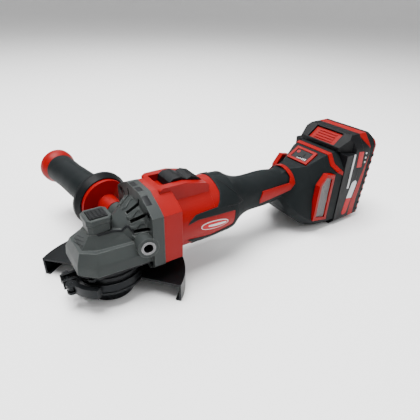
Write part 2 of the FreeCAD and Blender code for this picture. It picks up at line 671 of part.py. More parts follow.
def motor():
    """Brushless motor: stator with its coils, rotor, fan, bearings and baffle."""
    length = "stator_back-stator_front"
    ring = tube("stator_ring", "housing_radius-housing_wall", "22.5", length,
                ("stator_front", "0", "motor_axis"), "X")
    poles, coils = [], []
    for number in range(6):
        swing = Rotation(Vector(1, 0, 0), 60 * number)
        pole = block("pole_%d" % number, ("0", length), ("-3.5", "3.5"), ("14.6", "23.5"))
        coil = cut("coil_%d" % number,
                   block("coil_out_%d" % number, ("-3.6", "%s+2.6" % length), ("-5.8", "5.8"), ("16.5", "21.5")),
                   block("coil_in_%d" % number, ("0", length), ("-3.6", "3.6"), ("10", "30")))
        shift = swing.multVec(Vector(0, -3.5, 14.6))
        put(pole, ("stator_front", shift.y, "motor_axis+(%s)" % shift.z), swing)
        put(coil, ("stator_front", "0", "motor_axis"), swing)
        poles.append(pole)
        coils.append(coil)
    flat = block("stator_flat", ("stator_front-1", "stator_back+1"), ("-6", "6"),
                 ("motor_axis+link_height-0.4", "motor_axis+40"))
    node(cut("stator_core", fuse("stator_solid", [ring] + poles), flat), "stator_core")
    node(group("stator_coils", coils), "stator_coils")
    shaft = fuse("shaft_solid", [
        cylinder("shaft_nose", "shaft_radius*0.8", "12", (size("crown_pitch") - 6.0, "0", "motor_axis"), "X"),
        cylinder("shaft_bar", "shaft_radius", "stator_back+1-25", ("25", "0", "motor_axis"), "X"),
        cylinder("shaft_tail", "4", "10", ("stator_back+1", "0", "motor_axis"), "X")])
    node(shaft, "rotor_shaft")
    node(tube("rotor_core", "13.9", "shaft_radius", length, ("stator_front", "0", "motor_axis"), "X"),
         "rotor_core")
    hub = tube("fan_hub", "9", "shaft_radius", "13", ("plate_back+3", "0", "motor_axis"), "X")
    disc = tube("fan_disc", "26", "8", "1.6", ("plate_back+14.4", "0", "motor_axis"), "X")
    blades = []
    for number in range(11):
        swing = Rotation(Vector(1, 0, 0), 360 * number / 11)
        blade = block("blade_%d" % number, ("0", "11"), ("-0.7", "0.7"), ("8.5", "25.6"))
        shift = swing.multVec(Vector(0, -0.7, 8.5))
        put(blade, ("plate_back+4", shift.y, "motor_axis+(%s)" % shift.z), swing)
        blades.append(blade)
    node(fuse("fan", [hub, disc] + blades), "fan")
    node(tube("front_motor_bearing", "13", "shaft_radius+running_gap", "bearing_width",
              ("25", "0", "motor_axis"), "X"), "front_motor_bearing")
    node(tube("rear_motor_bearing", "11", "4+running_gap", "bearing_width",
              ("stator_back+3.5", "0", "motor_axis"), "X"), "rear_motor_bearing")
    node(tube("air_baffle", "27.6", "13.5", "1.6", ("plate_front+4.6", "0", "motor_axis"), "X"),
         "air_baffle")


# ---------------------------------------------------------------- switch

def switch_group():
    """Slide switch on top, its link rod, the return spring and the electric switch."""
    base, rod_low, rod_high = "surround_top-6", "motor_axis+link_height", "motor_axis+link_height+2"
    pad = prism("switch_pad", "XZ_Plane", [
        ("switch_front", base), ("switch_front+1", "surround_top"), ("switch_front+5", "surround_top+2.4"),
        ("switch_front+12", "surround_top+2.6"), ("switch_front+18", "surround_top-0.6"),
        ("switch_back-11", "surround_top+1"), ("switch_back-4", "surround_top-1.6"),
        ("switch_back", base)], "-switch_half", "switch_half")
    key = block("switch_key", ("switch_front+16", "switch_back-10"), ("-4", "4"), (rod_high, base))
    node(fuse("slide_switch", [pad, key]), "slide_switch")
    rod = prism("link_rod", "XZ_Plane", [
        ("switch_front+16", rod_low), ("switch_front+16", rod_high), ("stator_back+12", rod_high),
        ("housing_back-1", "motor_axis+15.2"), ("housing_back+18", "motor_axis+15.2"),
        ("housing_back+18", "motor_axis+13.2"), ("housing_back-2", "motor_axis+13.2"),
        ("stator_back+11", rod_low)], "-2.5", "2.5")
    node(rod, "switch_link")
    node(spring("switch_spring", "1.9", "0.35", "11", 6, ("housing_back+18.4", "0", "motor_axis+14.2"),
                AXIS_TURNS["X"]), "switch_spring")
    box = block("module_box", ("housing_back+8", "housing_back+32"), ("-8", "8"),
                ("motor_axis-12", "motor_axis+8"))
    post = block("module_post", ("housing_back+30.4", "housing_back+32"), ("-4", "4"),
                 ("motor_axis+7", "motor_axis+15.6"))
    node(fuse("module_solid", [box, post]), "switch_module")


# ---------------------------------------------------------------- grip and rear housing

def foot_ring(along, low, high, shoulder, halves, inset):
    """Section of the rear housing: flat underside and top, upright sides, cut corners between them."""
    low_half, side_half, shoulder_half, high_half = halves
    return (along, mirrored([
        ("%s-%s" % (low_half, inset), "%s+%s" % (low, inset)),
        ("%s-%s" % (side_half, inset), "%s+9+%s/2" % (low, inset)),
        ("%s-%s" % (shoulder_half, inset), "%s-%s/2" % (shoulder, inset)),
        ("%s-%s" % (high_half, inset), "%s-%s" % (high, inset))]))


def foot_end(inset, front, back):
    """Last two sections of the rear housing, from the top of the panel slope to the rear face."""
    return [foot_ring(front, "-15.5", "panel_head", "48", ("27.5", "foot_half", "32.5", "22"), inset),
            foot_ring(back, "battery_low", "panel_head+4", "55",
                      ("28", "foot_half", "foot_half", "24"), inset)]


def foot_front_rings(inset):
    """Sections of the rear housing from under the grip to the foot of the panel slope."""
    return [
        foot_ring("foot_front-15+%s" % inset, "23", "motor_axis+13", "34", ("13", "15", "15", "8"), inset),
        foot_ring("foot_front-10+%s" % inset, "12", "motor_axis+16", "25", ("20", "23", "20", "8"), inset),
        foot_ring("foot_front-2", "2.5", "panel_foot-2", "32", ("25", "30", "21", "8"), inset),
        foot_ring("panel_front-8", "-6.5", "panel_foot-1.5", "37", ("26.5", "34", "25", "12"), inset),
        foot_ring("panel_front", "-10.5", "panel_foot", "38", ("27", "36", "29", "16"), inset)]


def rear_body(name, inset):
    """Grip and rear housing as one solid, shrunk by an inset."""
    stations = (("housing_back", "housing_radius-1.4"), ("housing_back+8", "24.5"),
                ("housing_back+20", "20"), ("housing_back+36", "grip_radius"),
                ("foot_front-30", "grip_radius"), ("foot_front", "grip_radius"))
    grip = round_loft(name + "_grip", [(along, "%s-%s" % (radius, inset)) for along, radius in stations],
                      "motor_axis")
    foot = stacked(name + "_foot", "YZ_Plane",
                   foot_front_rings(inset) + foot_end(inset, "panel_back", "foot_back-%s" % inset))
    return fuse(name, [grip, foot])


def grip_shells():
    """Grip and rear housing, moulded as a left and a right shell."""
    outside = rear_body("rear_outside", "0")
    inside = rear_body("rear_inside", "shell_wall")
    block_way = block("terminal_way", ("foot_back-5", "foot_back+1"), ("-20", "20"),
                      ("motor_axis-34", "motor_axis+18"))
    panel_way = panel_block("panel_way", "-1.6", "3", "9.6", "14.6")
    vents = [vent_block("vent_way_%d" % number, side, "-6", "0", "4")
             for number, side in enumerate((1, -1))]
    hollow = cut("rear_hollow", outside, [inside, block_way, panel_way] + vents)
    for label, low, high in (("handle_shell_left", "0", "foot_half+5"),
                             ("handle_shell_right", "-foot_half-5", "0")):
        half = block(label + "_half", ("housing_back-2", "foot_back+5"), (low, high), ("-60", "120"))
        node(common(label + "_solid", [hollow, half]), label)


def slope_turn(rise, run):
    """Rotation that tilts a level face so that it climbs towards +X."""
    return Rotation(Vector(0, 1, 0), -math.degrees(math.atan2(size(rise), size(run))))


def tilted_block(name, base, turn, low, high, half_depth, half_width):
    """Block about a tilted frame, between two levels measured square to its face."""
    corner = base + turn.multVec(Vector(-size(half_depth), -size(half_width), size(low)))
    thing = bind(doc.addObject("Part::Box", name), Length="2*(%s)" % half_depth,
                 Width="2*(%s)" % half_width, Height="%s-(%s)" % (high, low))
    return put(thing, (corner.x, corner.y, corner.z), turn)


def panel_block(name, low, high, half_depth, half_width):
    """Block on the sloping panel between two levels measured square to it."""
    base = Vector(size("(panel_front+panel_back)/2"), 0, size("(panel_foot+panel_head)/2"))
    turn = slope_turn("panel_head-panel_foot", "panel_back-panel_front")
    return tilted_block(name, base, turn, low, high, half_depth, half_width)


def panel():
    """Control panel: red bezel, dark face and the speed button."""
    bezel = cut("panel_bezel", panel_block("bezel_out", "-1.5", "1.8", "9.4", "14.4"),
                panel_block("bezel_in", "-0.2", "4", "6.7", "11.2"))
    node(bezel, "panel_bezel")
    face = cut("panel_face", panel_block("face_out", "-0.2", "1.2", "6.6", "11.1"),
               panel_block("face_button_way", "0.1", "4", "3.3", "3.3"))
    node(face, "panel_face")
    node(panel_block("speed_button_pad", "0.9", "1.7", "3", "3"), "speed_button")


def vent_block(name, side, low, high, margin):
    """Slanted block along a side vent of the rear housing; margin widens it."""
    points = [("foot_back-33-%s" % margin, "3-%s" % margin), ("foot_back-18+%s" % margin, "-1-%s" % margin),
              ("foot_back-17+%s" % margin, "47+%s" % margin), ("foot_back-26", "50+%s" % margin),
              ("foot_back-32-%s" % margin, "42")]
    if side > 0:
        return prism(name, "XZ_Plane", points, "foot_half+(%s)" % low, "foot_half+(%s)" % high)
    return prism(name, "XZ_Plane", points, "-foot_half-(%s)" % high, "-foot_half-(%s)" % low)


def vents():
    """Side vents: a red frame on each side and a pair of dust filters."""
    filters = []
    for side, word in ((1, "left"), (-1, "right")):
        frame = cut("frame_" + word, vent_block("frame_out_" + word, side, "-5.6", "0.6", "3.6"),
                    vent_block("frame_in_" + word, side, "-8", "2", "0"))
        node(frame, "vent_frame_" + word)
        filters.append(vent_block("filter_" + word, side, "-4.4", "-0.8", "-0.2"))
    node(group("filter_pair", filters), "dust_filters")


def accents():
    """Red trim: a hook along each side of the grip and a strip over the rear housing."""
    for word, low, high in (("left", "0.3", "30"), ("right", "-30", "-0.3")):
        ring = tube("accent_ring_" + word, "grip_radius+0.8", "grip_radius+0.05", "60",
                    ("foot_front-52", "0", "motor_axis"), "X")
        hook = prism("accent_hook_" + word, "XZ_Plane", [
            ("foot_front-49", "motor_axis-6"), ("foot_front-50", "motor_axis-1"),
            ("foot_front-46", "motor_axis+7"), ("foot_front-9", "motor_axis+7"),
            ("foot_front-6", "motor_axis+12"), ("foot_front-8", "motor_axis+30"),
            ("foot_front-2", "motor_axis+30"), ("foot_front-1", "motor_axis+5"),
            ("foot_front-8", "motor_axis-1")], low, high)
        body = rear_body("accent_core_" + word, "-0.06")
        node(cut("accent_" + word, common("accent_whole_" + word, [ring, hook]), body),
             "grip_accent_" + word)
    band = cut("trim_band", stacked("trim_out", "YZ_Plane", foot_end("-0.8", "panel_back", "foot_back")),
               stacked("trim_in", "YZ_Plane", foot_end("-0.05", "panel_back-0.1", "foot_back+0.1")))
    side = prism("trim_side", "XZ_Plane", [
        ("foot_back-14", "panel_head+4"), ("foot_back-14", "panel_head-9"), ("foot_back-8", "panel_head-16"),
        ("foot_back-0.6", "panel_head-20"), ("foot_back-0.6", "panel_head-16"),
        ("foot_back-5", "panel_head-12"), ("foot_back-9", "panel_head-7"), ("foot_back-9", "panel_head+4")],
        "-60", "60")
    node(common("trim_strip", [band, side]), "rear_trim")


def shell_screws():
    """Screws that close the two shells, in sunk bosses on the right side."""
    places = [("housing_back+38", "motor_axis-6", "-10.5"), ("foot_front-20", "motor_axis-6", "-10.5"),
              ("foot_front+10", "motor_axis+3", "-15.5"), ("foot_front+10", "1.5", "-25"),
              ("foot_back-8", "2", "-29")]
    node(group("shell_screws", [
        screw("shell_screw_%d" % number, "1.6", "14", "2.8", "1.8", (x, y, z), "Y")
        for number, (x, z, y) in enumerate(places)]), "shell_screws")


def electronics():
    """Control board and terminal block inside the rear housing."""
    board = block("board", ("foot_front+4", "foot_back-12"), ("-22", "22"), ("6", "7.6"))
    parts = [cylinder("capacitor_%d" % number, "5", "14", ("foot_front+14+13*%d" % number, "-12", "7.6"))
             for number in range(2)]
    sink = block("heat_sink", ("foot_front+8", "foot_back-18"), ("2", "18"), ("7.6", "15"))
    node(fuse("control_board", [board, sink] + parts), "control_board")
    body = block("terminal_body", ("foot_back-9", "foot_back-1"), ("-19", "19"), ("12", "motor_axis+14"))
    blades = [block("blade_way_%d" % number, ("foot_back-1.2", "foot_back-0.6"),
                    ("%s" % (-13 + 8 * number), "%s" % (-11.6 + 8 * number)), ("16", "36"))
              for number in range(4)]
    node(fuse("terminal_block", [body] + blades), "terminal_block")


# ---------------------------------------------------------------- battery

def battery_side(inset):
    """Side view of the battery: upright, with the latch slope at the top front."""
    return [
        ("foot_back+0.5+%s" % inset, "battery_low+%s" % inset),
        ("battery_back-12", "battery_low+%s" % inset),
        ("battery_back-6.5-%s" % inset, "battery_low+7"),
        ("battery_back-%s" % inset, "battery_high-9"),
        ("battery_back-8", "battery_high-%s" % inset),
        ("latch_back+%s/2" % inset, "battery_high-%s" % inset),
        ("latch_front+%s" % inset, "battery_high-latch_drop-%s/4" % inset),
        ("latch_front+%s" % inset, "panel_head+4.6+%s/4" % inset),
        ("foot_back+0.5+%s" % inset, "panel_head+4.6+%s/4" % inset)]


def battery_end(inset):
    """End view of the battery: a square with cut corners."""
    return mirrored([
        ("battery_half-6-%s" % inset, "battery_low+%s" % inset),
        ("battery_half-%s" % inset, "battery_low+6"),
        ("battery_half-%s" % inset, "battery_high-14"),
        ("battery_half-9-%s" % inset, "battery_high-%s" % inset)])


def battery_solid(name, inset):
    """Battery block, shrunk by an inset, with its upper front corners cut off."""
    block_ = common(name + "_whole", [
        prism(name + "_side", "XZ_Plane", battery_side(inset), "-battery_half-1", "battery_half+1"),
        prism(name + "_end", "YZ_Plane", battery_end(inset), "latch_front-2", "battery_back+1")])
    corners = []
    for word, sign in (("left", ""), ("right", "-")):
        points = [("latch_front-3", "26.5-%s" % inset), ("latch_front-3", "battery_half+9"),
                  ("latch_back+3", "battery_half+9"), ("latch_back", "battery_half-5-%s" % inset)]
        corners.append(prism(name + "_corner_" + word, "XY_Plane",
                             [(x, "%s(%s)" % (sign, y)) for x, y in points],
                             "panel_head+2-%s" % inset, "battery_high+1"))
    return cut(name, block_, corners)


def latch_frame():
    """Middle of the latch slope and the rotation that tilts with it."""
    middle = Vector(size("(latch_front+latch_back)/2"), 0, size("battery_high-latch_drop/2"))
    return middle, slope_turn("latch_drop", "latch_back-latch_front")


def battery():
    """Battery pack: two case shells, bumper, cells, board and side trim, with its latch."""
    middle, turn = latch_frame()
    hollow = cut("battery_hollow", battery_solid("battery_outside", "0"),
                 battery_solid("battery_inside", "2"))
    opened = cut("battery_opened", hollow, [
        tilted_block("latch_way", middle, turn, "-8.2", "4", "8.8", "latch_half+0.4"),
        block("battery_rail_way", ("foot_back", "foot_back+4"), ("-16", "16"), ("10", "motor_axis+16"))])
    split = "foot_back+26"
    front = block("battery_front_half", ("foot_back-10", split), ("-60", "60"), ("-60", "120"))
    rear = block("battery_rear_half", (split, "battery_back+5"), ("-60", "60"), ("-60", "120"))
    node(common("battery_front_solid", [opened, front]), "battery_case_front")
    bumper_zone = prism("bumper_zone", "XZ_Plane", [
        ("battery_back-13", "battery_high+2"), ("battery_back-11", "battery_high-10"),
        ("battery_back-9", "battery_high-24"), ("battery_back-11", "30"), ("battery_back-14", "10"),
        ("battery_back-15", "battery_low-2"), ("battery_back-9.5", "battery_low-2"),
        ("battery_back-8.5", "battery_low+8"), ("battery_back-2.5", "battery_high-11"),
        ("battery_back-2.5", "battery_high+2")], "-60", "60")
    rear_half = common("battery_rear_solid", [opened, rear])
    node(cut("battery_rear_trimmed", rear_half, bumper_zone), "battery_case_rear")
    node(common("battery_bumper_solid", [rear_half, bumper_zone]), "battery_bumper")
    cells = [cylinder("cell_%d_%d" % (row, column), "cell_radius", "cell_length",
                      ("foot_back+12.2+18.8*%d+0.8*%d" % (column, row), "-cell_length/2",
                       "battery_low+13.5+18.3*%d" % row), "Y")
             for row in range(4) for column in range(2)]
    node(group("battery_cells", cells), "battery_cells")
    node(block("battery_board_plate", ("foot_back+18", "battery_back-9"), ("-26", "26"),
               ("battery_high-5", "battery_high-3.6")), "battery_board")
    stripes = [block("stripe_%d" % number, ("foot_back+12", "foot_back+14.4"), (low, high), ("28", "69"))
               for number, (low, high) in enumerate((("battery_half+0.02", "battery_half+0.6"),
                                                     ("-battery_half-0.6", "-battery_half-0.02")))]
    node(group("battery_stripes", stripes), "battery_stripes")
    ridges = [tilted_block("latch_ridge_%d" % number, middle + turn.multVec(Vector(-5.1 + 3.4 * number, 0, 0)),
                           turn, "-2.2", "-1.4", "0.7", "12") for number in range(4)]
    plate = tilted_block("latch_plate", middle, turn, "-4.6", "-2.2", "8.4", "latch_half")
    node(fuse("latch_button", [plate] + ridges), "latch_button")
    seat = middle + turn.multVec(Vector(0, 0, -9))
    node(spring("latch_spring", "3", "0.4", "4", 3, (seat.x, seat.y, seat.z), turn), "latch_spring")


# ---------------------------------------------------------------- side handle

def side_handle():
    """Side handle on the left boss: stud, red disc, black flange, grip and end cap."""
    turn, at = boss_turn(1), boss_point(1, 0)
    stud = turned("handle_stud", [
        ("0", "-13"), ("stud_radius", "-13"), ("stud_radius", "1"), ("6", "1"), ("6", "40"), ("0", "40")],
        at, turn)
    node(stud, "handle_stud")
    node(turned("handle_disc", [
        ("6", "1"), ("9", "1"), ("10.5", "15"), ("23.8", "17"), ("23.8", "21"), ("6", "21")], at, turn),
        "handle_disc")
    node(turned("handle_flange", [
        ("6", "21"), ("25", "21"), ("28.4", "26"), ("28.4", "29"), ("25", "32"), ("16.5", "38"),
        ("6", "38")], at, turn), "handle_flange")
    reach = "handle_reach"
    node(turned("handle_grip", [
        ("6", "38"), ("handle_radius", "38"), ("handle_radius+0.8", "60"), ("handle_radius-0.2", "90"),
        ("handle_radius+0.4", "%s-13" % reach), ("0", "%s-13" % reach), ("0", "40"), ("6", "40")],
        at, turn), "handle_grip")
    node(turned("handle_cap", [
        ("0", "%s-13" % reach), ("handle_radius+0.4", "%s-13" % reach), ("18.7", "%s-7" % reach),
        ("18.7", "%s-2" % reach), ("16", reach), ("0", reach)], at, turn), "handle_cap")


# ---------------------------------------------------------------- build, check and write

def stand_on_origin():
    """Move every node so that the origin is under the middle of the whole tool."""
    whole = FreeCAD.BoundBox()
    for item in NODES:
        whole.add(item.Shape.optimalBoundingBox(False))
    middle = {"origin_x": (whole.XMin + whole.XMax) / 2, "origin_y": (whole.YMin + whole.YMax) / 2,
              "origin_z": whole.ZMin}
    for item in NODES:
        moved = item.Placement.Base
        old = [dict(item.ExpressionEngine).get(".Placement.Base." + axis,
                                               dict(item.ExpressionEngine).get("Placement.Base." + axis))
               for axis in "xyz"]
        for axis, text, value in zip("xyz", old, moved):
            start = text if text else repr(value)
            item.setExpression("Placement.Base." + axis, "%s-Dims.origin_%s" % (start, axis))
    for alias, value in middle.items():
        sheet.set(ALIASES[alias], repr(round(value, 4)))
    doc.recompute()
    return middle


def check():
    """Stop if any object failed or any node has no valid shape."""
    for item in doc.Objects:
        if {"Invalid", "Error"} & set(item.State):
            raise RuntimeError("%s is %s" % (item.Name, item.State))
    for item in NODES:
        if item.Shape.isNull() or not item.Shape.isValid() or item.Shape.Volume <= 0:
            raise RuntimeError("%s has no valid shape" % item.Label)


def write():
    """Write each node's shape to its own file."""
    os.makedirs("parts", exist_ok=True)
    for old in os.listdir("parts"):
        if old.endswith(".step"):
            os.remove(os.path.join("parts", old))
    for item in NODES:
        item.Shape.exportStep("parts/%s.step" % item.Label)


def main():
    """Build the whole tool."""
    for build in (gear_case, handle_inserts, bearing_retainer, retainer_screws, head_screws,
                  spindle_group, crown_gear, pinion_gear, lock_group, wheel_guard, guard_clamp,
                  motor_housing, housing_overmould, motor, switch_group, grip_shells, panel, vents,
                  accents, shell_screws, electronics, battery, side_handle):
        build()
        doc.recompute()
    check()
    middle = stand_on_origin()
    check()
    write()
    print("nodes", len(NODES), "origin", {key: round(value, 3) for key, value in middle.items()})


main()
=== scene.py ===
"""Looks of a cordless angle grinder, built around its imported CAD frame.

Sizes inside the classes are millimetres in the drawing's own frame: the spindle axis is x = y = 0,
z = 0 is the top of the guard's deck, +X runs to the battery and +Y to the side handle.  Datum turns
them into the frame's metres.
"""

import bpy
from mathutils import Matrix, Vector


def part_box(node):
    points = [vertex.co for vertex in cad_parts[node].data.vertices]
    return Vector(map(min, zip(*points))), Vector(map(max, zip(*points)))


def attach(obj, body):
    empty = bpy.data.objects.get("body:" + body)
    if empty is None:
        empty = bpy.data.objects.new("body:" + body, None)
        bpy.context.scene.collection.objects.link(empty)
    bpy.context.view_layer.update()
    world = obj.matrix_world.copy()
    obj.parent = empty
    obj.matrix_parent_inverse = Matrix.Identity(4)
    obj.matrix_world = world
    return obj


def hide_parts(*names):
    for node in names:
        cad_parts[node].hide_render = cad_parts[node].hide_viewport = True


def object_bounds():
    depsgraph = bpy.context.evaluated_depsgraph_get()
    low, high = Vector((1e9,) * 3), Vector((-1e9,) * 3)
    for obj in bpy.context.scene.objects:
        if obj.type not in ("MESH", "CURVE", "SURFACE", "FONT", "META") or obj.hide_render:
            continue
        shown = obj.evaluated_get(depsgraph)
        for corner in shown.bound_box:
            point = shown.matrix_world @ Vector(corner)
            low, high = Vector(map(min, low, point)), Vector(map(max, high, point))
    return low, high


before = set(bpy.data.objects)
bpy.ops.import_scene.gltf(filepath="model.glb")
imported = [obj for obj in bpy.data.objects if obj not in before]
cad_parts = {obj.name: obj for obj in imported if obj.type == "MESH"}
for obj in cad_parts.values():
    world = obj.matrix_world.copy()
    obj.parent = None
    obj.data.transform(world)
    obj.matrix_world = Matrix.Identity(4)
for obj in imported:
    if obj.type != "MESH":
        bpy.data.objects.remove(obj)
CAD_BOX = [list(corner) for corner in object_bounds()]

import logging
from dataclasses import dataclass
from enum import Enum
from typing import Any, Callable, Sequence

import bpy
import numpy as np
from mathutils import Matrix

log = logging.getLogger("angle_grinder")
Array = np.ndarray
Colour = tuple[float, float, float]
Placer = Callable[[Array, Array], Array]
Outline = tuple[tuple[float, float], ...]
MM = 0.001
SMOOTH_ANGLE = np.radians(34.0)
WELD_GAP = 1e-5
MOTTLE_SIZE = 26.0
SCUFF_SIZE = 3.0
GLOSS_SIZE = 9.0
WEAVE_OPEN = 0.62
GUARD_DEPTH = 18.0
BARREL_AXIS = 38.0
NEAR, FAR = -1.0, 1.0


class Slot(Enum):
    """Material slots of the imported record."""

    CAST = "cast_grey"
    BLACK_CAST = "black_cast"
    BLACK_STEEL = "black_steel"
    ZINC = "zinc_steel"
    GROUND = "ground_steel"
    SPRING = "spring_steel"
    MAGNET = "magnet_steel"
    COPPER = "copper"
    RED = "red_plastic"
    BLACK = "black_plastic"
    RUBBER = "black_rubber"
    PANEL = "panel_black"
    FILTER = "filter_grey"
    BOARD = "board_green"
    CELL = "cell_wrap"
    LIGHT = "light_grey"


class Grain(Enum):
    """Ways a surface is textured."""

    CAST = "cast"
    MOULDED = "moulded"
    RUBBER = "rubber"
    BRUSHED = "brushed"
    WOVEN = "woven"
    WOUND = "wound"


@dataclass(frozen=True)
class Datum:
    """Where the drawing's datum is in the frame, in metres."""

    x: float
    y: float
    z: float

    @classmethod
    def from_frame(cls) -> "Datum":
        """Finds the datum from the spindle's axis and the guard's lowest point."""
        low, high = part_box("spindle")
        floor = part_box("wheel_guard")[0].z
        return cls((low.x + high.x) / 2, (low.y + high.y) / 2, floor + GUARD_DEPTH * MM)

    def place(self, points: Array) -> Array:
        """Points in drawing millimetres, as frame metres."""
        return points * MM + np.array((self.x, self.y, self.z))


DATUM = Datum.from_frame()


@dataclass(frozen=True)
class Value:
    """A number on its way through a material; arithmetic on it adds Math nodes."""

    shader: "Shader"
    socket: Any

    def _math(self, operation: str, first: Any, second: Any) -> "Value":
        """One Math node.

        Args:
            operation: name of the Math node's operation.
            first: left operand, a Value or a number.
            second: right operand, a Value or a number.

        Returns:
            The node's result.
        """
        node = self.shader.node("ShaderNodeMath", {"operation": operation}, {0: first, 1: second})
        return Value(self.shader, node.outputs[0])

    def __add__(self, other: Any) -> "Value":
        """Sum."""
        return self._math("ADD", self, other)

    def __sub__(self, other: Any) -> "Value":
        """Difference."""
        return self._math("SUBTRACT", self, other)

    def __mul__(self, other: Any) -> "Value":
        """Product."""
        return self._math("MULTIPLY", self, other)

    def __truediv__(self, other: Any) -> "Value":
        """Quotient."""
        return self._math("DIVIDE", self, other)

    def __rsub__(self, other: Any) -> "Value":
        """Difference with the number on the left."""
        return self._math("SUBTRACT", other, self)

    __radd__ = __add__
    __rmul__ = __mul__

    def wave(self) -> "Value":
        """Sine of the value."""
        return self._math("SINE", self, 0.0)

    def over(self, limit: float) -> "Value":
        """One where the value is over a limit, zero elsewhere."""
        return self._math("GREATER_THAN", self, limit)

    def least(self, other: Any) -> "Value":
        """The smaller of the value and another."""
        return self._math("MINIMUM", self, other)

    def most(self, other: Any) -> "Value":
        """The larger of the value and another."""
        return self._math("MAXIMUM", self, other)

    def clamp(self) -> "Value":
        """The value held between zero and one."""
        return self.most(0.0).least(1.0)


class Shader:
    """A node material in the making."""

    def __init__(self, name: str) -> None:
        """Starts a material with a Principled shader.

        Args:
            name: the material's name.
        """
        self.material = bpy.data.materials.new(name)
        self.material.use_nodes = True
        self.tree = self.material.node_tree
        self.surface = self.tree.nodes["Principled BSDF"]
        self.place = self.node("ShaderNodeTexCoord").outputs["Object"]

    def node(self, kind: str, settings: dict[str, Any] | None = None,
             inputs: dict[Any, Any] | None = None) -> Any:
        """Adds one node.

        Args:
            kind: the node's type.
            settings: properties set before the sockets, such as an operation.
            inputs: value, Value or socket for each input, by name or index.

        Returns:
            The new node.
        """
        made = self.tree.nodes.new(kind)
        for key, setting in (settings or {}).items():
            setattr(made, key, setting)
        for key, given in (inputs or {}).items():
            self.feed(made.inputs[key], given)
        return made

    def feed(self, socket: Any, given: Any) -> None:
        """Links an input to a Value or socket, or sets it to a number or colour.

        Args:
            socket: the input.
            given: what goes into it.
        """
        source = given.socket if isinstance(given, Value) else given
        if isinstance(source, bpy.types.NodeSocket):
            self.tree.links.new(source, socket)
        else:
            socket.default_value = source

    def noise(self, size: float, detail: float = 3.0, stretch: Sequence[float] = (1.0, 1.0, 1.0)) -> Value:
        """Noise over the object's own coordinates.

        Args:
            size: size of the largest spots, in mm.
            detail: octaves of finer noise.
            stretch: scale along x, y and z, for a grain with a direction.

        Returns:
            Noise between zero and one.
        """
        place = self.node("ShaderNodeMapping", {}, {"Vector": self.place, "Scale": stretch})
        made = self.node("ShaderNodeTexNoise", {},
                         {"Vector": place.outputs[0], "Scale": 1.0 / (size * MM), "Detail": detail})
        return Value(self, made.outputs["Fac"])

    def axes(self) -> tuple[Value, Value, Value]:
        """The object's own x, y and z, in metres."""
        split = self.node("ShaderNodeSeparateXYZ", {}, {0: self.place})
        x, y, z = (Value(self, socket) for socket in split.outputs)
        return x, y, z

    def mix(self, factor: Value, low: Any, high: Any) -> Any:
        """Mixes two colours.

        Args:
            factor: share of the second colour.
            low: colour at zero.
            high: colour at one.

        Returns:
            The mixed colour's socket.
        """
        made = self.node("ShaderNodeMix", {"data_type": "RGBA"}, {0: factor, 6: low, 7: high})
        return made.outputs[2]

    def soft_edges(self, radius: float) -> tuple[Any, Value]:
        """Rounds edges in the shading.

        Args:
            radius: rounding of the edges, in mm.

        Returns:
            The rounded normal, and how far a point is on an edge, from zero to one.
        """
        rounded = self.node("ShaderNodeBevel", {"samples": 4}, {"Radius": radius * MM}).outputs[0]
        flat = self.node("ShaderNodeNewGeometry").outputs["Normal"]
        dot = self.node("ShaderNodeVectorMath", {"operation": "DOT_PRODUCT"}, {0: rounded, 1: flat})
        return rounded, ((1.0 - Value(self, dot.outputs["Value"])) * 5.0).clamp()


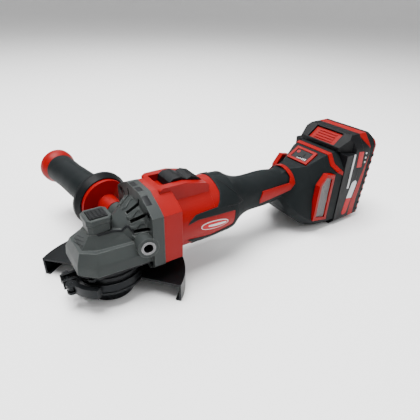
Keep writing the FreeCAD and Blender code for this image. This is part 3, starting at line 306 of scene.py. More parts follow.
@dataclass(frozen=True)
class Finish:
    """One finish: its colours, gloss and grain.

    Colours are linear; pitch, relief and edge are millimetres.
    """

    name: str
    slot: Slot
    colour: Colour
    mottle: Colour
    rubbed: Colour
    roughness: float
    grain: Grain = Grain.MOULDED
    metallic: float = 0.0
    pitch: float = 0.6
    relief: float = 0.03
    edge: float = 0.5
    uneven: float = 0.12
    specular: float = 0.12

    def height(self, shader: Shader) -> Value:
        """Relief of the grain.

        Args:
            shader: the material being made.

        Returns:
            Height from zero to one: noise for cast, moulded and rubber skins, noise drawn out along x
            for brushed metal, product of two sines for a weave, one sine for windings.
        """
        x, y, z = shader.axes()
        turns = 2.0 * np.pi / (self.pitch * MM)
        if self.grain is Grain.WOVEN:
            return (((x + z) * turns).wave() * ((x - z) * turns).wave()) * 0.5 + 0.5
        if self.grain is Grain.WOUND:
            return ((y + z) * turns).wave() * 0.5 + 0.5
        if self.grain is Grain.BRUSHED:
            return shader.noise(self.pitch, 2.0, (0.12, 1.0, 1.0))
        if self.grain is Grain.CAST:
            return shader.noise(self.pitch, 4.0) * 0.7 + shader.noise(self.pitch * 5.0, 2.0) * 0.5
        return shader.noise(self.pitch, 3.0)

    def base(self, shader: Shader) -> Any:
        """The two colours mottled into each other."""
        patches = ((shader.noise(MOTTLE_SIZE, 4.0) - 0.4) * 2.2).clamp()
        return shader.mix(patches, (*self.colour, 1.0), (*self.mottle, 1.0))

    def make(self) -> bpy.types.Material:
        """Builds the node material.

        Returns:
            The material, with mottled colour, rubbed edges, uneven gloss and the grain's relief.
        """
        shader = Shader(self.name)
        surface = shader.surface
        rounded, corner = shader.soft_edges(self.edge)
        base = self.base(shader)
        scuffs = (shader.noise(SCUFF_SIZE, 5.0) * 1.6 - 0.35).clamp()
        worn = (corner * scuffs).clamp()
        height = self.height(shader)
        if self.grain is Grain.WOVEN:
            base = shader.mix(height.over(WEAVE_OPEN), (*self.colour, 1.0), (*self.rubbed, 1.0))
        colour = shader.mix(worn, base, (*self.rubbed, 1.0))
        shader.feed(surface.inputs["Base Color"], colour)
        shader.feed(surface.inputs["Metallic"], self.metallic)
        shader.feed(surface.inputs["Specular IOR Level"], self.specular)
        gloss = shader.noise(GLOSS_SIZE, 4.0) * (2.0 * self.uneven) + (self.roughness - self.uneven)
        shader.feed(surface.inputs["Roughness"], gloss.clamp())
        bump = shader.node("ShaderNodeBump", {}, {"Strength": 0.6, "Distance": self.relief * MM,
                                                 "Height": height, "Normal": rounded})
        shader.feed(surface.inputs["Normal"], bump.outputs[0])
        return shader.material


@dataclass(frozen=True)
class BandedFinish(Finish):
    """A finish with a second colour behind a slanted line on the battery's side."""

    behind: Colour = (0.20, 0.0003, 0.0004)

    def base(self, shader: Shader) -> Any:
        """The colour, and a band of the other one round the battery's rear.

        Args:
            shader: the material being made.

        Returns:
            The colour's socket; the band runs from x = min(283 + 0.25 (z - 5), 300 - 0.95 (z - 68)) to
            just short of the leaning rear face, x = 301 + 0.072 z.
        """
        x, _, z = shader.axes()
        along, high = (x - DATUM.x) / MM, (z - DATUM.z) / MM
        line = ((high - 5.0).most(0.0) * 0.25 + 283.0).least(364.6 - high * 0.95)
        band = (along - line).over(0.0) * (high * 0.072 + 301.0 - along).over(0.0)
        return shader.mix(band, (*self.colour, 1.0), (*self.behind, 1.0))


class Finishes:
    """Every finish on the grinder, made once and shared."""

    GRAPHITE = Finish("graphite_cast", Slot.CAST, (0.030, 0.034, 0.033), (0.027, 0.031, 0.031),
        (0.13, 0.135, 0.13), 0.50, grain=Grain.CAST, metallic=0.25, pitch=0.9, relief=0.05, edge=0.9,
        uneven=0.08)
    # Black cast paint for the bearing retainer; the same finish also paints the shade of the head's step,
    # grooves and plate notches.
    BLACK_CAST = Finish("black_cast_paint_and_painted_shade", Slot.BLACK_CAST, (0.008, 0.009, 0.01), (0.006, 0.006, 0.007),
        (0.05, 0.05, 0.05), 0.48, grain=Grain.CAST, metallic=0.2, pitch=0.8, relief=0.04, edge=0.6)
    BLACK_STEEL = Finish("blackened_steel", Slot.BLACK_STEEL, (0.007, 0.008, 0.009),
        (0.011, 0.012, 0.013), (0.1, 0.1, 0.1), 0.36, grain=Grain.BRUSHED, metallic=0.6, pitch=0.5,
        relief=0.015, edge=0.4, uneven=0.10)
    ZINC = Finish("zinc_plate", Slot.ZINC, (0.42, 0.43, 0.44), (0.30, 0.31, 0.33), (0.70, 0.70, 0.70),
        0.32, grain=Grain.BRUSHED, metallic=1.0, pitch=0.4, relief=0.01, edge=0.4)
    DULL_ZINC = Finish("dull_zinc", Slot.ZINC, (0.12, 0.12, 0.123), (0.14, 0.14, 0.145), (0.5, 0.5, 0.5),
        0.42, grain=Grain.BRUSHED, metallic=1.0, pitch=0.4, relief=0.01, edge=0.9)
    GROUND = Finish("ground_steel_bright", Slot.GROUND, (0.46, 0.46, 0.46), (0.36, 0.36, 0.37),
        (0.72, 0.72, 0.71), 0.28, grain=Grain.BRUSHED, metallic=1.0, pitch=0.3, relief=0.01, edge=0.3)
    SPRING = Finish("spring_wire", Slot.SPRING, (0.26, 0.25, 0.24), (0.18, 0.18, 0.18), (0.5, 0.5, 0.5),
        0.35, grain=Grain.BRUSHED, metallic=1.0, pitch=0.3, relief=0.01, edge=0.2)
    MAGNET = Finish("laminated_steel", Slot.MAGNET, (0.20, 0.20, 0.21), (0.14, 0.14, 0.15),
        (0.4, 0.4, 0.4), 0.42, grain=Grain.WOUND, metallic=0.9, pitch=0.7, edge=0.3)
    COPPER = Finish("enamelled_copper", Slot.COPPER, (0.50, 0.16, 0.06), (0.38, 0.11, 0.04),
        (0.7, 0.3, 0.15), 0.35, grain=Grain.WOUND, metallic=0.9, pitch=1.1, relief=0.15, edge=0.3)
    RED = Finish("red_shell", Slot.RED, (0.20, 0.0002, 0.0003), (0.175, 0.0002, 0.0003),
        (0.42, 0.01, 0.01), 0.40, pitch=0.35, relief=0.012, edge=0.6, uneven=0.07)
    # Black nylon for the switch, lock button and other moulded parts; the same finish also paints the shade
    # along the overmould's crease.
    BLACK = Finish("black_nylon_and_crease_shade", Slot.BLACK, (0.0032, 0.0036, 0.0042), (0.0046, 0.0052, 0.006),
        (0.02, 0.021, 0.022), 0.46, pitch=0.4, edge=0.7)
    RUBBER = Finish("soft_overmould", Slot.RUBBER, (0.0036, 0.0054, 0.0060), (0.0052, 0.0070, 0.0078),
        (0.018, 0.021, 0.022), 0.60, grain=Grain.RUBBER, pitch=0.5, relief=0.05, edge=0.8, uneven=0.08)
    PANEL = Finish("panel_film", Slot.PANEL, (0.004, 0.004, 0.005), (0.006, 0.006, 0.006),
        (0.03, 0.03, 0.03), 0.22, pitch=0.3, relief=0.004, edge=0.3, uneven=0.05)
    FILTER = Finish("filter_gauze", Slot.FILTER, (0.040, 0.040, 0.042), (0.05, 0.05, 0.05),
        (0.26, 0.25, 0.25), 0.55, grain=Grain.WOVEN, metallic=0.2, pitch=2.4, relief=0.35, edge=0.2)
    BOARD = Finish("board_lacquer", Slot.BOARD, (0.010, 0.10, 0.035), (0.008, 0.07, 0.025),
        (0.3, 0.3, 0.15), 0.3, pitch=1.2, relief=0.02, edge=0.2)
    CELL = Finish("cell_sleeve", Slot.CELL, (0.02, 0.10, 0.24), (0.02, 0.08, 0.20), (0.2, 0.3, 0.4), 0.3,
        pitch=0.5, relief=0.01, edge=0.3)
    LIGHT = Finish("pale_print", Slot.LIGHT, (0.52, 0.53, 0.54), (0.44, 0.45, 0.46), (0.7, 0.7, 0.7),
        0.42, pitch=0.5, relief=0.01, edge=0.3)
    BANDED = BandedFinish("battery_shell", Slot.RED, (0.0032, 0.0036, 0.0042), (0.0032, 0.0036, 0.0042),
        (0.06, 0.03, 0.03), 0.42)
    PRINT = Finish("red_print", Slot.RED, (0.34, 0.008, 0.012), (0.30, 0.006, 0.009), (0.6, 0.1, 0.1),
        0.45, pitch=0.5, relief=0.006, edge=0.2)

    _made: dict[str, bpy.types.Material] = {}

    @classmethod
    def material(cls, finish: Finish) -> bpy.types.Material:
        """The material of a finish, made the first time it is asked for."""
        if finish.name not in cls._made:
            cls._made[finish.name] = finish.make()
        return cls._made[finish.name]


@dataclass(frozen=True)
class Form:
    """A closed skin: points, four-sided faces and three-sided faces."""

    points: Array
    quads: Array
    fans: Array

    @classmethod
    def tube(cls, rings: Array, closed: bool = False) -> "Form":
        """Skins a row of rings.

        Args:
            rings: rings[i, j] is point j of ring i; each ring is a closed loop.
            closed: joins the last ring to the first; otherwise a fan to its mean point closes each end.

        Returns:
            The skin, with face (i, j) through rings i, i + 1 and points j, j + 1.
        """
        n, m = rings.shape[:2]
        i, j = np.meshgrid(np.arange(n if closed else n - 1), np.arange(m), indexing="ij")
        after, beside = (i + 1) % n, (j + 1) % m
        quads = np.stack((i * m + j, i * m + beside, after * m + beside, after * m + j), -1).reshape(-1, 4)
        points = rings.reshape(-1, 3)
        if closed:
            return cls(points, quads, np.empty((0, 3), int))
        k = np.arange(m)
        lead = np.stack(((k + 1) % m, k, np.full(m, n * m)), -1)
        tail = np.stack(((n - 1) * m + k, (n - 1) * m + (k + 1) % m, np.full(m, n * m + 1)), -1)
        points = np.vstack((points, rings[0].mean(0), rings[-1].mean(0)))
        return cls(points, quads, np.vstack((lead, tail)))

    @classmethod
    def slab(cls, top: Array, under: Array) -> "Form":
        """A slab between two equal grids.

        Args:
            top: points of the upper skin.
            under: points of the underside.

        Returns:
            The slab; each ring is a row of the top and then the same row of the underside, reversed.
        """
        return cls.tube(np.concatenate((top, under[:, ::-1]), axis=1))

    @classmethod
    def turned(cls, profile: Sequence[tuple[float, float]], centre: Sequence[float],
               axis: Sequence[float], steps: int = 96, closed: bool = False) -> "Form":
        """A turned form.

        Point (s, r) of the profile at turn t is centre + s axis + r (cos t side + sin t other).

        Args:
            profile: (station along the axis, radius) pairs.
            centre: where station zero is.
            axis: direction of the axis.
            steps: points in a turn.
            closed: the profile is a closed loop round a hole.

        Returns:
            The turned skin.
        """
        along = np.array(axis, float) / np.linalg.norm(axis)
        side = np.cross(along, (0.0, 0.0, 1.0) if abs(along[2]) < 0.9 else (1.0, 0.0, 0.0))
        side /= np.linalg.norm(side)
        other = np.cross(along, side)
        turn = np.linspace(0.0, 2.0 * np.pi, steps, endpoint=False)[:, None]
        circle = np.cos(turn) * side + np.sin(turn) * other
        station, radius = np.array(profile, float).T
        rings = np.array(centre) + station[:, None, None] * along + radius[:, None, None] * circle
        return cls.tube(rings, closed)

    def joined(self, *others: "Form") -> "Form":
        """Joins forms into one, their points numbered on.

        Args:
            others: the forms added to this one.

        Returns:
            The joined form.
        """
        points, quads, fans = self.points, self.quads, self.fans
        for other in others:
            start = len(points)
            points = np.vstack((points, other.points))
            quads = np.vstack((quads, other.quads + start))
            fans = np.vstack((fans, other.fans + start))
        return Form(points, quads, fans)

    def outward(self) -> "Form":
        """Turns the faces outwards.

        Returns:
            The form whose enclosed volume, a sixth of the sum of a . (b x c), is positive.
        """
        halves = np.vstack((self.quads[:, :3], self.quads[:, (0, 2, 3)], self.fans))
        a, b, c = (self.points[halves[:, k]] for k in range(3))
        if np.einsum("ij,ij->", a, np.cross(b, c)) >= 0.0:
            return self
        return Form(self.points, self.quads[:, ::-1], self.fans[:, ::-1])

    def piece(self, name: str, finish: Finish, body: str, replaces: Sequence[str] = (),
              bevel: float = 0.0) -> bpy.types.Object:
        """Makes the form an object that rides on a body.

        Args:
            name: the piece's name.
            finish: its finish.
            body: the CAD body it moves with.
            replaces: CAD nodes it stands for.
            bevel: rounding of its sharp edges, in mm.

        Returns:
            The object.
        """
        form = self.outward()
        mesh = bpy.data.meshes.new(name)
        mesh.from_pydata(DATUM.place(form.points).tolist(), [], form.quads.tolist() + form.fans.tolist())
        mesh.shade_smooth()
        mesh.set_sharp_from_angle(angle=SMOOTH_ANGLE)
        mesh.materials.append(Finishes.material(finish))
        made = bpy.data.objects.new(name, mesh)
        bpy.context.scene.collection.objects.link(made)
        if bevel:
            rounding = made.modifiers.new("round", "BEVEL")
            rounding.width = bevel * MM
            rounding.segments = 3
            rounding.limit_method = "ANGLE"
            rounding.harden_normals = True
        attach(made, body)
        if replaces:
            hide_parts(*replaces)
        log.info("%s: %d faces on %s, %s", name, len(mesh.polygons), body, finish.name)
        return made


def spaced(line: Sequence[tuple[float, float]], count: int) -> Array:
    """Points along a line, closer together near its two ends.

    Args:
        line: corner points; equal shares of the parameter go to each run.
        count: number of points wanted.

    Returns:
        The points at parameter (1 - cos(pi k)) / 2 for k from zero to one.
    """
    corners = np.array(line, float)
    share = 0.5 - 0.5 * np.cos(np.linspace(0.0, np.pi, count))
    at = share * (len(corners) - 1)
    return np.stack([np.interp(at, np.arange(len(corners)), corners[:, k]) for k in range(2)], -1)


def patch(low: Sequence[tuple[float, float]], high: Sequence[tuple[float, float]], place: Placer,
          height: float, edge: float = 0.8, sink: float = 0.5, rows: int = 18, columns: int = 90) -> Form:
    """A raised skin between two lines on a surface.

    The grid is (1 - s) low(t) + s high(t); its rise is height * sqrt(1 - (1 - d / edge)^2) where d is
    the distance to the nearest border, so that its border is a quarter round.

    Args:
        low: corners of the first line, in surface coordinates.
        high: as many corners of the second line.
        place: turns surface coordinates and a rise into points.
        height: how far the skin stands proud.
        edge: radius of its rounded border.
        sink: how deep its underside lies.
        rows: grid lines across.
        columns: grid lines along.

    Returns:
        The skin as a closed slab.
    """
    first, second = spaced(low, columns), spaced(high, columns)
    share = (0.5 - 0.5 * np.cos(np.linspace(0.0, np.pi, rows)))[:, None, None]
    grid = (1.0 - share) * first + share * second
    flat = place(grid, np.zeros(grid.shape[:2]))

    def from_border(axis: int) -> Array:
        """Distance along one direction of the grid to its nearer end."""
        step = np.linalg.norm(np.diff(flat, axis=axis), axis=-1)
        run = np.cumsum(np.insert(step, 0, 0.0, axis=axis), axis=axis)
        return np.minimum(run, np.take(run, [-1], axis=axis) - run)

    near = np.clip(np.minimum(from_border(0), from_border(1)) / edge, 0.0, 1.0)
    rise = height * np.sqrt(1.0 - (1.0 - near) ** 2)
    return Form.slab(place(grid, rise), place(grid, np.full(rise.shape, -sink)))


def oval(centre: tuple[float, float], half: tuple[float, float], lean: float = 0.0,
         power: float = 0.5) -> tuple[list, list]:
    """Lower and upper lines of an oval, for patch.

    Args:
        centre: middle, in surface coordinates.
        half: half length and half width.
        lean: rise of the middle line per unit of length.
        power: half for an ellipse, less for squarer ends.

    Returns:
        The two lines, y = lean x -+ half width (1 - x^2)^power, with ends just short of the tips.
    """
    run = np.cos(np.linspace(np.pi * 0.97, np.pi * 0.03, 41))
    swell = half[1] * (1.0 - run ** 2) ** power
    x = centre[0] + half[0] * run
    middle = centre[1] + lean * (x - centre[0])
    return list(zip(x, middle - swell)), list(zip(x, middle + swell))


@dataclass
class FrameNodes:
    """The CAD nodes that stay in view, dressed with their finishes."""

    weld: float = WELD_GAP

    FINISH_OF = {
        Finishes.GRAPHITE: ("gear_case",),
        Finishes.BLACK_CAST: ("bearing_retainer",),
        Finishes.BLACK_STEEL: ("clamp_screw", "wheel_guard", "guard_band", "outer_flange", "inner_flange",
                               "clamp_lever", "head_screws", "shell_screws", "retainer_screws"),
        Finishes.ZINC: ("lock_pin", "switch_link"),
        Finishes.DULL_ZINC: ("handle_inserts",),
        Finishes.GROUND: ("spindle", "crown_gear", "pinion_gear", "rotor_shaft", "spindle_top_bearing",
                          "spindle_lower_bearing", "front_motor_bearing", "rear_motor_bearing",
                          "handle_stud"),
        Finishes.SPRING: ("lock_spring", "switch_spring", "latch_spring"),
        Finishes.MAGNET: ("rotor_core", "stator_core"),
        Finishes.COPPER: ("stator_coils",),
        Finishes.RED: ("motor_housing", "grip_accent_left", "grip_accent_right", "panel_bezel", "rear_trim",
                       "vent_frame_left", "vent_frame_right", "latch_button", "handle_disc", "handle_cap"),
        Finishes.BANDED: ("battery_case_rear",),
        Finishes.BLACK: ("lock_button", "slide_switch", "air_baffle", "fan", "switch_module",
                         "battery_case_front", "handle_flange", "terminal_block"),
        Finishes.RUBBER: ("housing_overmould", "handle_shell_left", "handle_shell_right", "handle_grip",
                          "battery_bumper"),
        Finishes.PANEL: ("panel_face", "speed_button"),
        Finishes.FILTER: ("dust_filters",),
        Finishes.BOARD: ("control_board", "battery_board"),
        Finishes.CELL: ("battery_cells",),
        Finishes.LIGHT: ("battery_stripes",),
    }

    def dress(self) -> None:
        """Gives every CAD node its finish and smooth shading."""
        finish_of = {node: finish for finish, nodes in self.FINISH_OF.items() for node in nodes}
        for name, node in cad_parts.items():
            finish = finish_of[name]
            node.data.materials.clear()
            node.data.materials.append(Finishes.material(finish))
            node.data.polygons.foreach_set("material_index", np.zeros(len(node.data.polygons), np.int32))
            node.data.polygons.foreach_set("use_smooth", np.ones(len(node.data.polygons), bool))
            weld = node.modifiers.new("weld", "WELD")
            weld.merge_threshold = self.weld
            split = node.modifiers.new("split", "EDGE_SPLIT")
            split.split_angle = SMOOTH_ANGLE
            log.info("%s: CAD node, %s", name, finish.name)


@dataclass
class MotorSleeve:
    """Overmoulded skins, stripes and badge of the motor barrel."""

    stations: tuple[float, ...] = (38.0, 93.0, 120.0, 128.0, 140.0, 156.0, 205.0)
    radii: tuple[float, ...] = (30.5, 30.5, 29.1, 24.5, 20.0, 18.8, 18.8)
    skin: float = 0.35
    pad: float = 0.95
    tail: Outline = ((92.4, 24.0), (92.4, 30.42), (93.0, 30.46), (119.0, 29.2), (119.5, 24.0))
    sleeve_front: Outline = ((103.6, 90.0), (103.2, 65.0), (102.8, 47.0), (99.8, 32.0), (98.4, 24.0),
                             (108.0, 15.0), (115.8, 7.0), (115.8, -6.0), (115.8, -19.0), (114.8, -26.0),
                             (111.0, -36.0), (98.0, -52.0), (95.0, -90.0))
    sleeve_rear: float = 120.2
    stripe_low: Outline = ((63.6, 8.3), (69.4, 10.6), (74.7, 12.1), (91.9, 10.5), (104.0, 9.0), (116.0, 7.6))
    stripe_high: Outline = ((63.9, 9.2), (66.4, 14.0), (72.4, 22.0), (86.0, 23.2), (97.0, 24.0),
                            (106.0, 22.0))
    pad_front: Outline = ((103.4, 90.0), (103.0, 65.0), (102.6, 47.0), (99.4, 32.0), (96.3, 24.5),
                          (95.0, 20.0))
    pad_rear: Outline = ((105.2, 90.0), (108.4, 70.0), (113.8, 52.0), (119.5, 37.0), (124.5, 26.0),
                         (128.7, 17.5))
    belly_high: Outline = ((64.3, -23.8), (71.0, -25.5), (80.0, -30.0), (90.4, -33.0), (103.0, -30.5),
                           (117.0, -24.5))
    belly_low: Outline = ((66.5, -28.0), (73.0, -42.0), (78.0, -89.0), (90.0, -89.5), (103.0, -89.5),
                          (117.0, -89.5))
    crease_start: tuple[float, float] = (104.8, 88.0)
    crease_return: Outline = ((118.0, 18.6), (107.0, 20.6))
    badge_middle: tuple[float, float] = (92.5, -7.4)
    badge_lean: float = -0.2

    def on_barrel(self, side: float) -> Placer:
        """Surface coordinates on the barrel and grip.

        Args:
            side: NEAR or FAR.

        Returns:
            A function of x and degrees up from the side.
        """
        def place(spot: Array, rise: Array) -> Array:
            """Point at radius r(x) + rise round the barrel's axis."""
            radius = np.interp(spot[..., 0], self.stations, self.radii) + rise
            turn = np.radians(spot[..., 1])
            return np.stack((spot[..., 0], side * radius * np.cos(turn),
                             BARREL_AXIS + radius * np.sin(turn)), -1)
        return place

    def build(self) -> None:
        """Builds the housing's tail, then each side's painted crease shade, skins and badge."""
        Form.turned(self.tail, (0.0, 0.0, BARREL_AXIS), (1.0, 0.0, 0.0)).piece(
            "housing_tail", Finishes.RED, "housing")
        rear = [(self.sleeve_rear, degrees) for _, degrees in self.sleeve_front]
        for side, hand in ((NEAR, "near"), (FAR, "far")):
            place = self.on_barrel(side)
            sleeve = patch(self.sleeve_front, rear, place, self.skin, edge=0.5, rows=14, columns=160)
            pads = (patch(self.stripe_low, self.stripe_high, place, self.pad - 0.06, 1.0),
                    patch(self.pad_front, self.pad_rear, place, self.pad, 1.1),
                    patch(self.belly_low, self.belly_high, place, self.pad - 0.12, 1.0))
            self.crease_shade_bead(place, hand)
            stands_for = ("housing_overmould",) if side == NEAR else ()
            sleeve.joined(*pads).piece(f"overmould_{hand}", Finishes.RUBBER, "housing", stands_for)
            self.badge(place, hand)

    def crease_shade_bead(self, place: Placer, hand: str) -> None:
        """A dark bead that paints the shade of the crease along the pad's rear edge and lower edge, its
        normals square to the axis.

        Args:
            place: surface coordinates of the side.
            hand: name of the side.
        """
        line = run((self.crease_start, *self.pad_rear[1:], *self.crease_return), 70)
        path = place(line, np.full(len(line), self.pad - 0.12))
        out = path * (0.0, 1.0, 1.0) - (0.0, 0.0, BARREL_AXIS)
        out /= np.linalg.norm(out, axis=1)[:, None]
        bead(path, out, width=1.3, height=0.3, sink=1.6).piece(
            f"overmould_crease_shade_{hand}", Finishes.BLACK, "housing")

    def badge(self, place: Placer, hand: str) -> None:
        """A blank oval badge with a pale rim and bar.

        Args:
            place: surface coordinates of the side.
            hand: name of the side.
        """
        layers = (("badge_rim", self.badge_middle, (15.4, 8.8), 0.42, 0.30, 0.3, Finishes.LIGHT),
                  ("badge", self.badge_middle, (14.6, 7.6), 0.42, 0.42, 0.3, Finishes.PRINT),
                  ("badge_bar", (95.0, -7.9), (10.2, 2.6), 0.2, 0.5, 0.2, Finishes.LIGHT))
        for name, middle, half, power, height, edge, finish in layers:
            low, high = oval(middle, half, self.badge_lean, power)
            patch(low, high, place, height, edge, columns=60).piece(f"{name}_{hand}", finish, "housing")


def bead(path: Array, normals: Array, width: float, height: float, sink: float = 0.6) -> Form:
    """A raised bead along a path.

    Each section is width wide at its foot and 0.6 of that at its top, square to the path's direction t:
    its corners are p + a (n x t) + b n.

    Args:
        path: points of the path.
        normals: the surface's normal at each point, or one normal for all.
        width: width of the foot, in mm.
        height: height over the surface.
        sink: depth of the foot under the surface.

    Returns:
        The bead as a closed form.
    """
    along = np.gradient(path, axis=0)
    along /= np.linalg.norm(along, axis=1)[:, None]
    up = np.broadcast_to(normals, path.shape)
    aside = np.cross(up, along)
    corners = ((-0.5, -sink), (-0.5, 0.0), (-0.3, height), (0.3, height), (0.5, 0.0), (0.5, -sink))
    rings = [path + aside * (a * width) + up * b for a, b in corners]
    return Form.tube(np.stack(rings, axis=1))


def run(corners: Sequence[Sequence[float]], count: int = 24) -> Array:
    """Points evenly spaced in parameter along a line of corners.

    Args:
        corners: the line's corners, in two or three coordinates.
        count: number of points wanted.

    Returns:
        The points.
    """
    spots = np.array(corners, float)
    at = np.linspace(0.0, len(spots) - 1.0, count)
    return np.stack([np.interp(at, np.arange(len(spots)), spots[:, k]) for k in range(spots.shape[1])], -1)


@dataclass
class GearHead:
    """Cast details of the gear head: tower rim and curved ribs, and dark beads that paint the shade of its
    step edge, grooves and plate notches.
    """

    rim: Outline = ((-15, 7), (-12, 9.8), (2, 9.8), (5, 6.5), (5, -6.5), (2, -9.8), (-12, -9.8), (-15, -7))
    rail: Outline = ((0.0, 54.0), (1.2, 55.4), (1.2, 59.2), (0.4, 60.2), (-1.4, 60.2), (-2.0, 59.4),
                     (-2.0, 54.0))
    rib_angles: tuple[float, ...] = (10.0, 34.0, 58.0, 90.0, 122.0, 146.0, 170.0)
    rib_start: float = 16.5
    rib_length: float = 10.6
    rib_half: float = 4.6
    rib_sway: float = 3.5
    cone_ends: tuple[float, float] = (5.0, 28.0)
    cone_radii: tuple[float, float] = (11.0, 28.0)
    step: Outline = ((-11.5, 17.0), (-13.2, 5.0), (-13.5, -2.0), (-9.0, -10.5), (4.0, -11.5), (15.0, -14.0),
                     (18.0, -19.5))
    grooves: tuple[Outline, ...] = (((-24.5, 6.0), (-21.0, -9.0)), ((-22.6, 7.0), (-19.6, -6.0)),
                                    ((-20.8, 8.0), (-18.4, -3.0)))
    over_case: float = 54.0
    notch_x: float = 31.0
    notch_width: float = 5.0

    def build(self) -> None:
        """Builds every detail."""
        self.tower_rim()
        self.cone_ribs()
        self.step_and_groove_shade()
        self.plate_notch_shade()

    def tower_rim(self) -> None:
        """The rim round the lock button: the tower's outline carried round a rounded rail."""
        spots = np.array(self.rim, float)
        centre = spots.mean(0)
        out = (spots - centre) / np.linalg.norm(spots - centre, axis=1)[:, None]
        rings = [np.column_stack((spots + out * reach, np.full(len(spots), high)))
                 for reach, high in self.rail]
        Form.tube(np.stack(rings), closed=True).piece("tower_rim", Finishes.GRAPHITE, "housing", bevel=0.35)

    def on_cone(self, spot: Array, rise: Array) -> Array:
        """Surface coordinates on the cone, whose radius grows evenly between its ends.

        Args:
            spot: x and degrees round the barrel's axis.
            rise: height over the cone.

        Returns:
            The points.
        """
        (start, end), (small, large) = self.cone_ends, self.cone_radii
        radius = small + (spot[..., 0] - start) * (large - small) / (end - start) + rise
        turn = np.radians(spot[..., 1])
        return np.stack((spot[..., 0], radius * np.cos(turn), BARREL_AXIS + radius * np.sin(turn)), -1)

    def cone_ribs(self) -> None:
        """S-shaped ribs on the cone: the middle line is angle + rib_sway sin(2 pi t)."""
        t = np.linspace(0.0, 1.0, 25)
        along = self.rib_start + self.rib_length * t
        ribs = []
        for angle in self.rib_angles:
            middle = angle + self.rib_sway * np.sin(2.0 * np.pi * t)
            low = list(zip(along, middle - self.rib_half))
            high = list(zip(along, middle + self.rib_half))
            ribs.append(patch(low, high, self.on_cone, height=1.3, edge=1.1, sink=1.0,
                              rows=12, columns=40))
        ribs[0].joined(*ribs[1:]).piece("cone_ribs", Finishes.GRAPHITE, "housing")

    def step_and_groove_shade(self) -> None:
        """Painted shade of the V-shaped step and the three grooves on the head's top: dark beads laid on the
        casting.
        """
        lines = [(self.step, 2.1, 0.5)] + [(groove, 0.9, 0.15) for groove in self.grooves]
        for number, (corners, width, height) in enumerate(lines):
            path, normals = self.on_casting(run(corners, 60))
            bead(path, normals, width, height).piece(f"head_painted_shade_{number}", Finishes.BLACK_CAST, "housing")

    def on_casting(self, plan: Array) -> tuple[Array, Array]:
        """Drops a line seen from above onto the gear case.

        Args:
            plan: x and y of its points.

        Returns:
            The points on the case and the case's normals there.
        """
        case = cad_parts["gear_case"]
        starts = DATUM.place(np.column_stack((plan, np.full(len(plan), self.over_case))))
        hits = [case.ray_cast(start, (0.0, 0.0, -1.0)) for start in starts.tolist()]
        path = (np.array([hit[1] for hit in hits]) - np.array((DATUM.x, DATUM.y, DATUM.z))) / MM
        return path, np.array([hit[2] for hit in hits])

    def plate_notch_shade(self) -> None:
        """Thin dark strips that paint the shade of the notches on the flange plate's upper edge and on its
        two upper corners.
        """
        level, slope = np.array((0.0, 0.0, 1.0)), np.array((0.0, 8.0, 16.0)) / np.hypot(8.0, 16.0)
        for side, hand in ((NEAR, "near"), (FAR, "far")):
            edge = [(self.notch_x, side * 1.5, 75.5), (self.notch_x, side * 9.5, 75.5)]
            corner = [(self.notch_x, side * 16.0, 74.0), (self.notch_x, side * 25.0, 69.5)]
            top = bead(run(edge, 6), level, self.notch_width, 0.12, 0.5)
            low = bead(run(corner, 6), slope * (1.0, side, 1.0), self.notch_width, 0.12)
            top.joined(low).piece(f"plate_notch_shade_{hand}", Finishes.BLACK_CAST, "housing")


@dataclass
class ControlPanel:
    """Marks on the control panel: a dial mark and a row of rising ticks."""

    middle: tuple[float, float, float] = (230.0, 0.0, 62.75)
    climb: tuple[float, float] = (9.5, 16.0)
    face: float = 1.2
    tick_count: int = 6
    tick_pitch: float = 2.2
    tick_growth: float = 0.35
    dial_at: tuple[float, float] = (3.0, 7.6)
    dial_ring: Outline = ((0.9, -0.3), (0.9, 0.15), (1.0, 0.2), (1.9, 0.2), (2.0, 0.15), (2.0, -0.3))

    def spot(self, u: Any, v: Any, level: Any) -> Array:
        """Points on the panel's slope.

        Args:
            u: distance up the slope from the panel's middle.
            v: distance across it.
            level: height square to it.

        Returns:
            The points.
        """
        rise, going = np.array(self.climb) / np.hypot(*self.climb)
        u, v, level = np.broadcast_arrays(u, v, level)
        return np.stack((self.middle[0] + u * going - level * rise, self.middle[1] + v,
                         self.middle[2] + u * rise + level * going), -1)

    def build(self) -> None:
        """Builds the ticks and the dial mark on the face."""
        ticks = []
        up = self.spot(0.0, 0.0, 1.0) - self.spot(0.0, 0.0, 0.0)
        for number in range(self.tick_count):
            across = 2.6 - self.tick_pitch * number
            path = self.spot(np.linspace(-5.6, -4.6 + self.tick_growth * number, 6), across, self.face)
            ticks.append(bead(path, up, width=1.1, height=0.18, sink=0.3))
        ticks[0].joined(*ticks[1:]).piece("panel_ticks", Finishes.LIGHT, "housing")
        turn = np.linspace(0.0, 2.0 * np.pi, 40, endpoint=False)
        rings = [self.spot(self.dial_at[0] + reach * np.cos(turn), self.dial_at[1] + reach * np.sin(turn),
                           self.face + level) for reach, level in self.dial_ring]
        Form.tube(np.stack(rings), closed=True).piece("panel_dial", Finishes.PRINT, "housing")


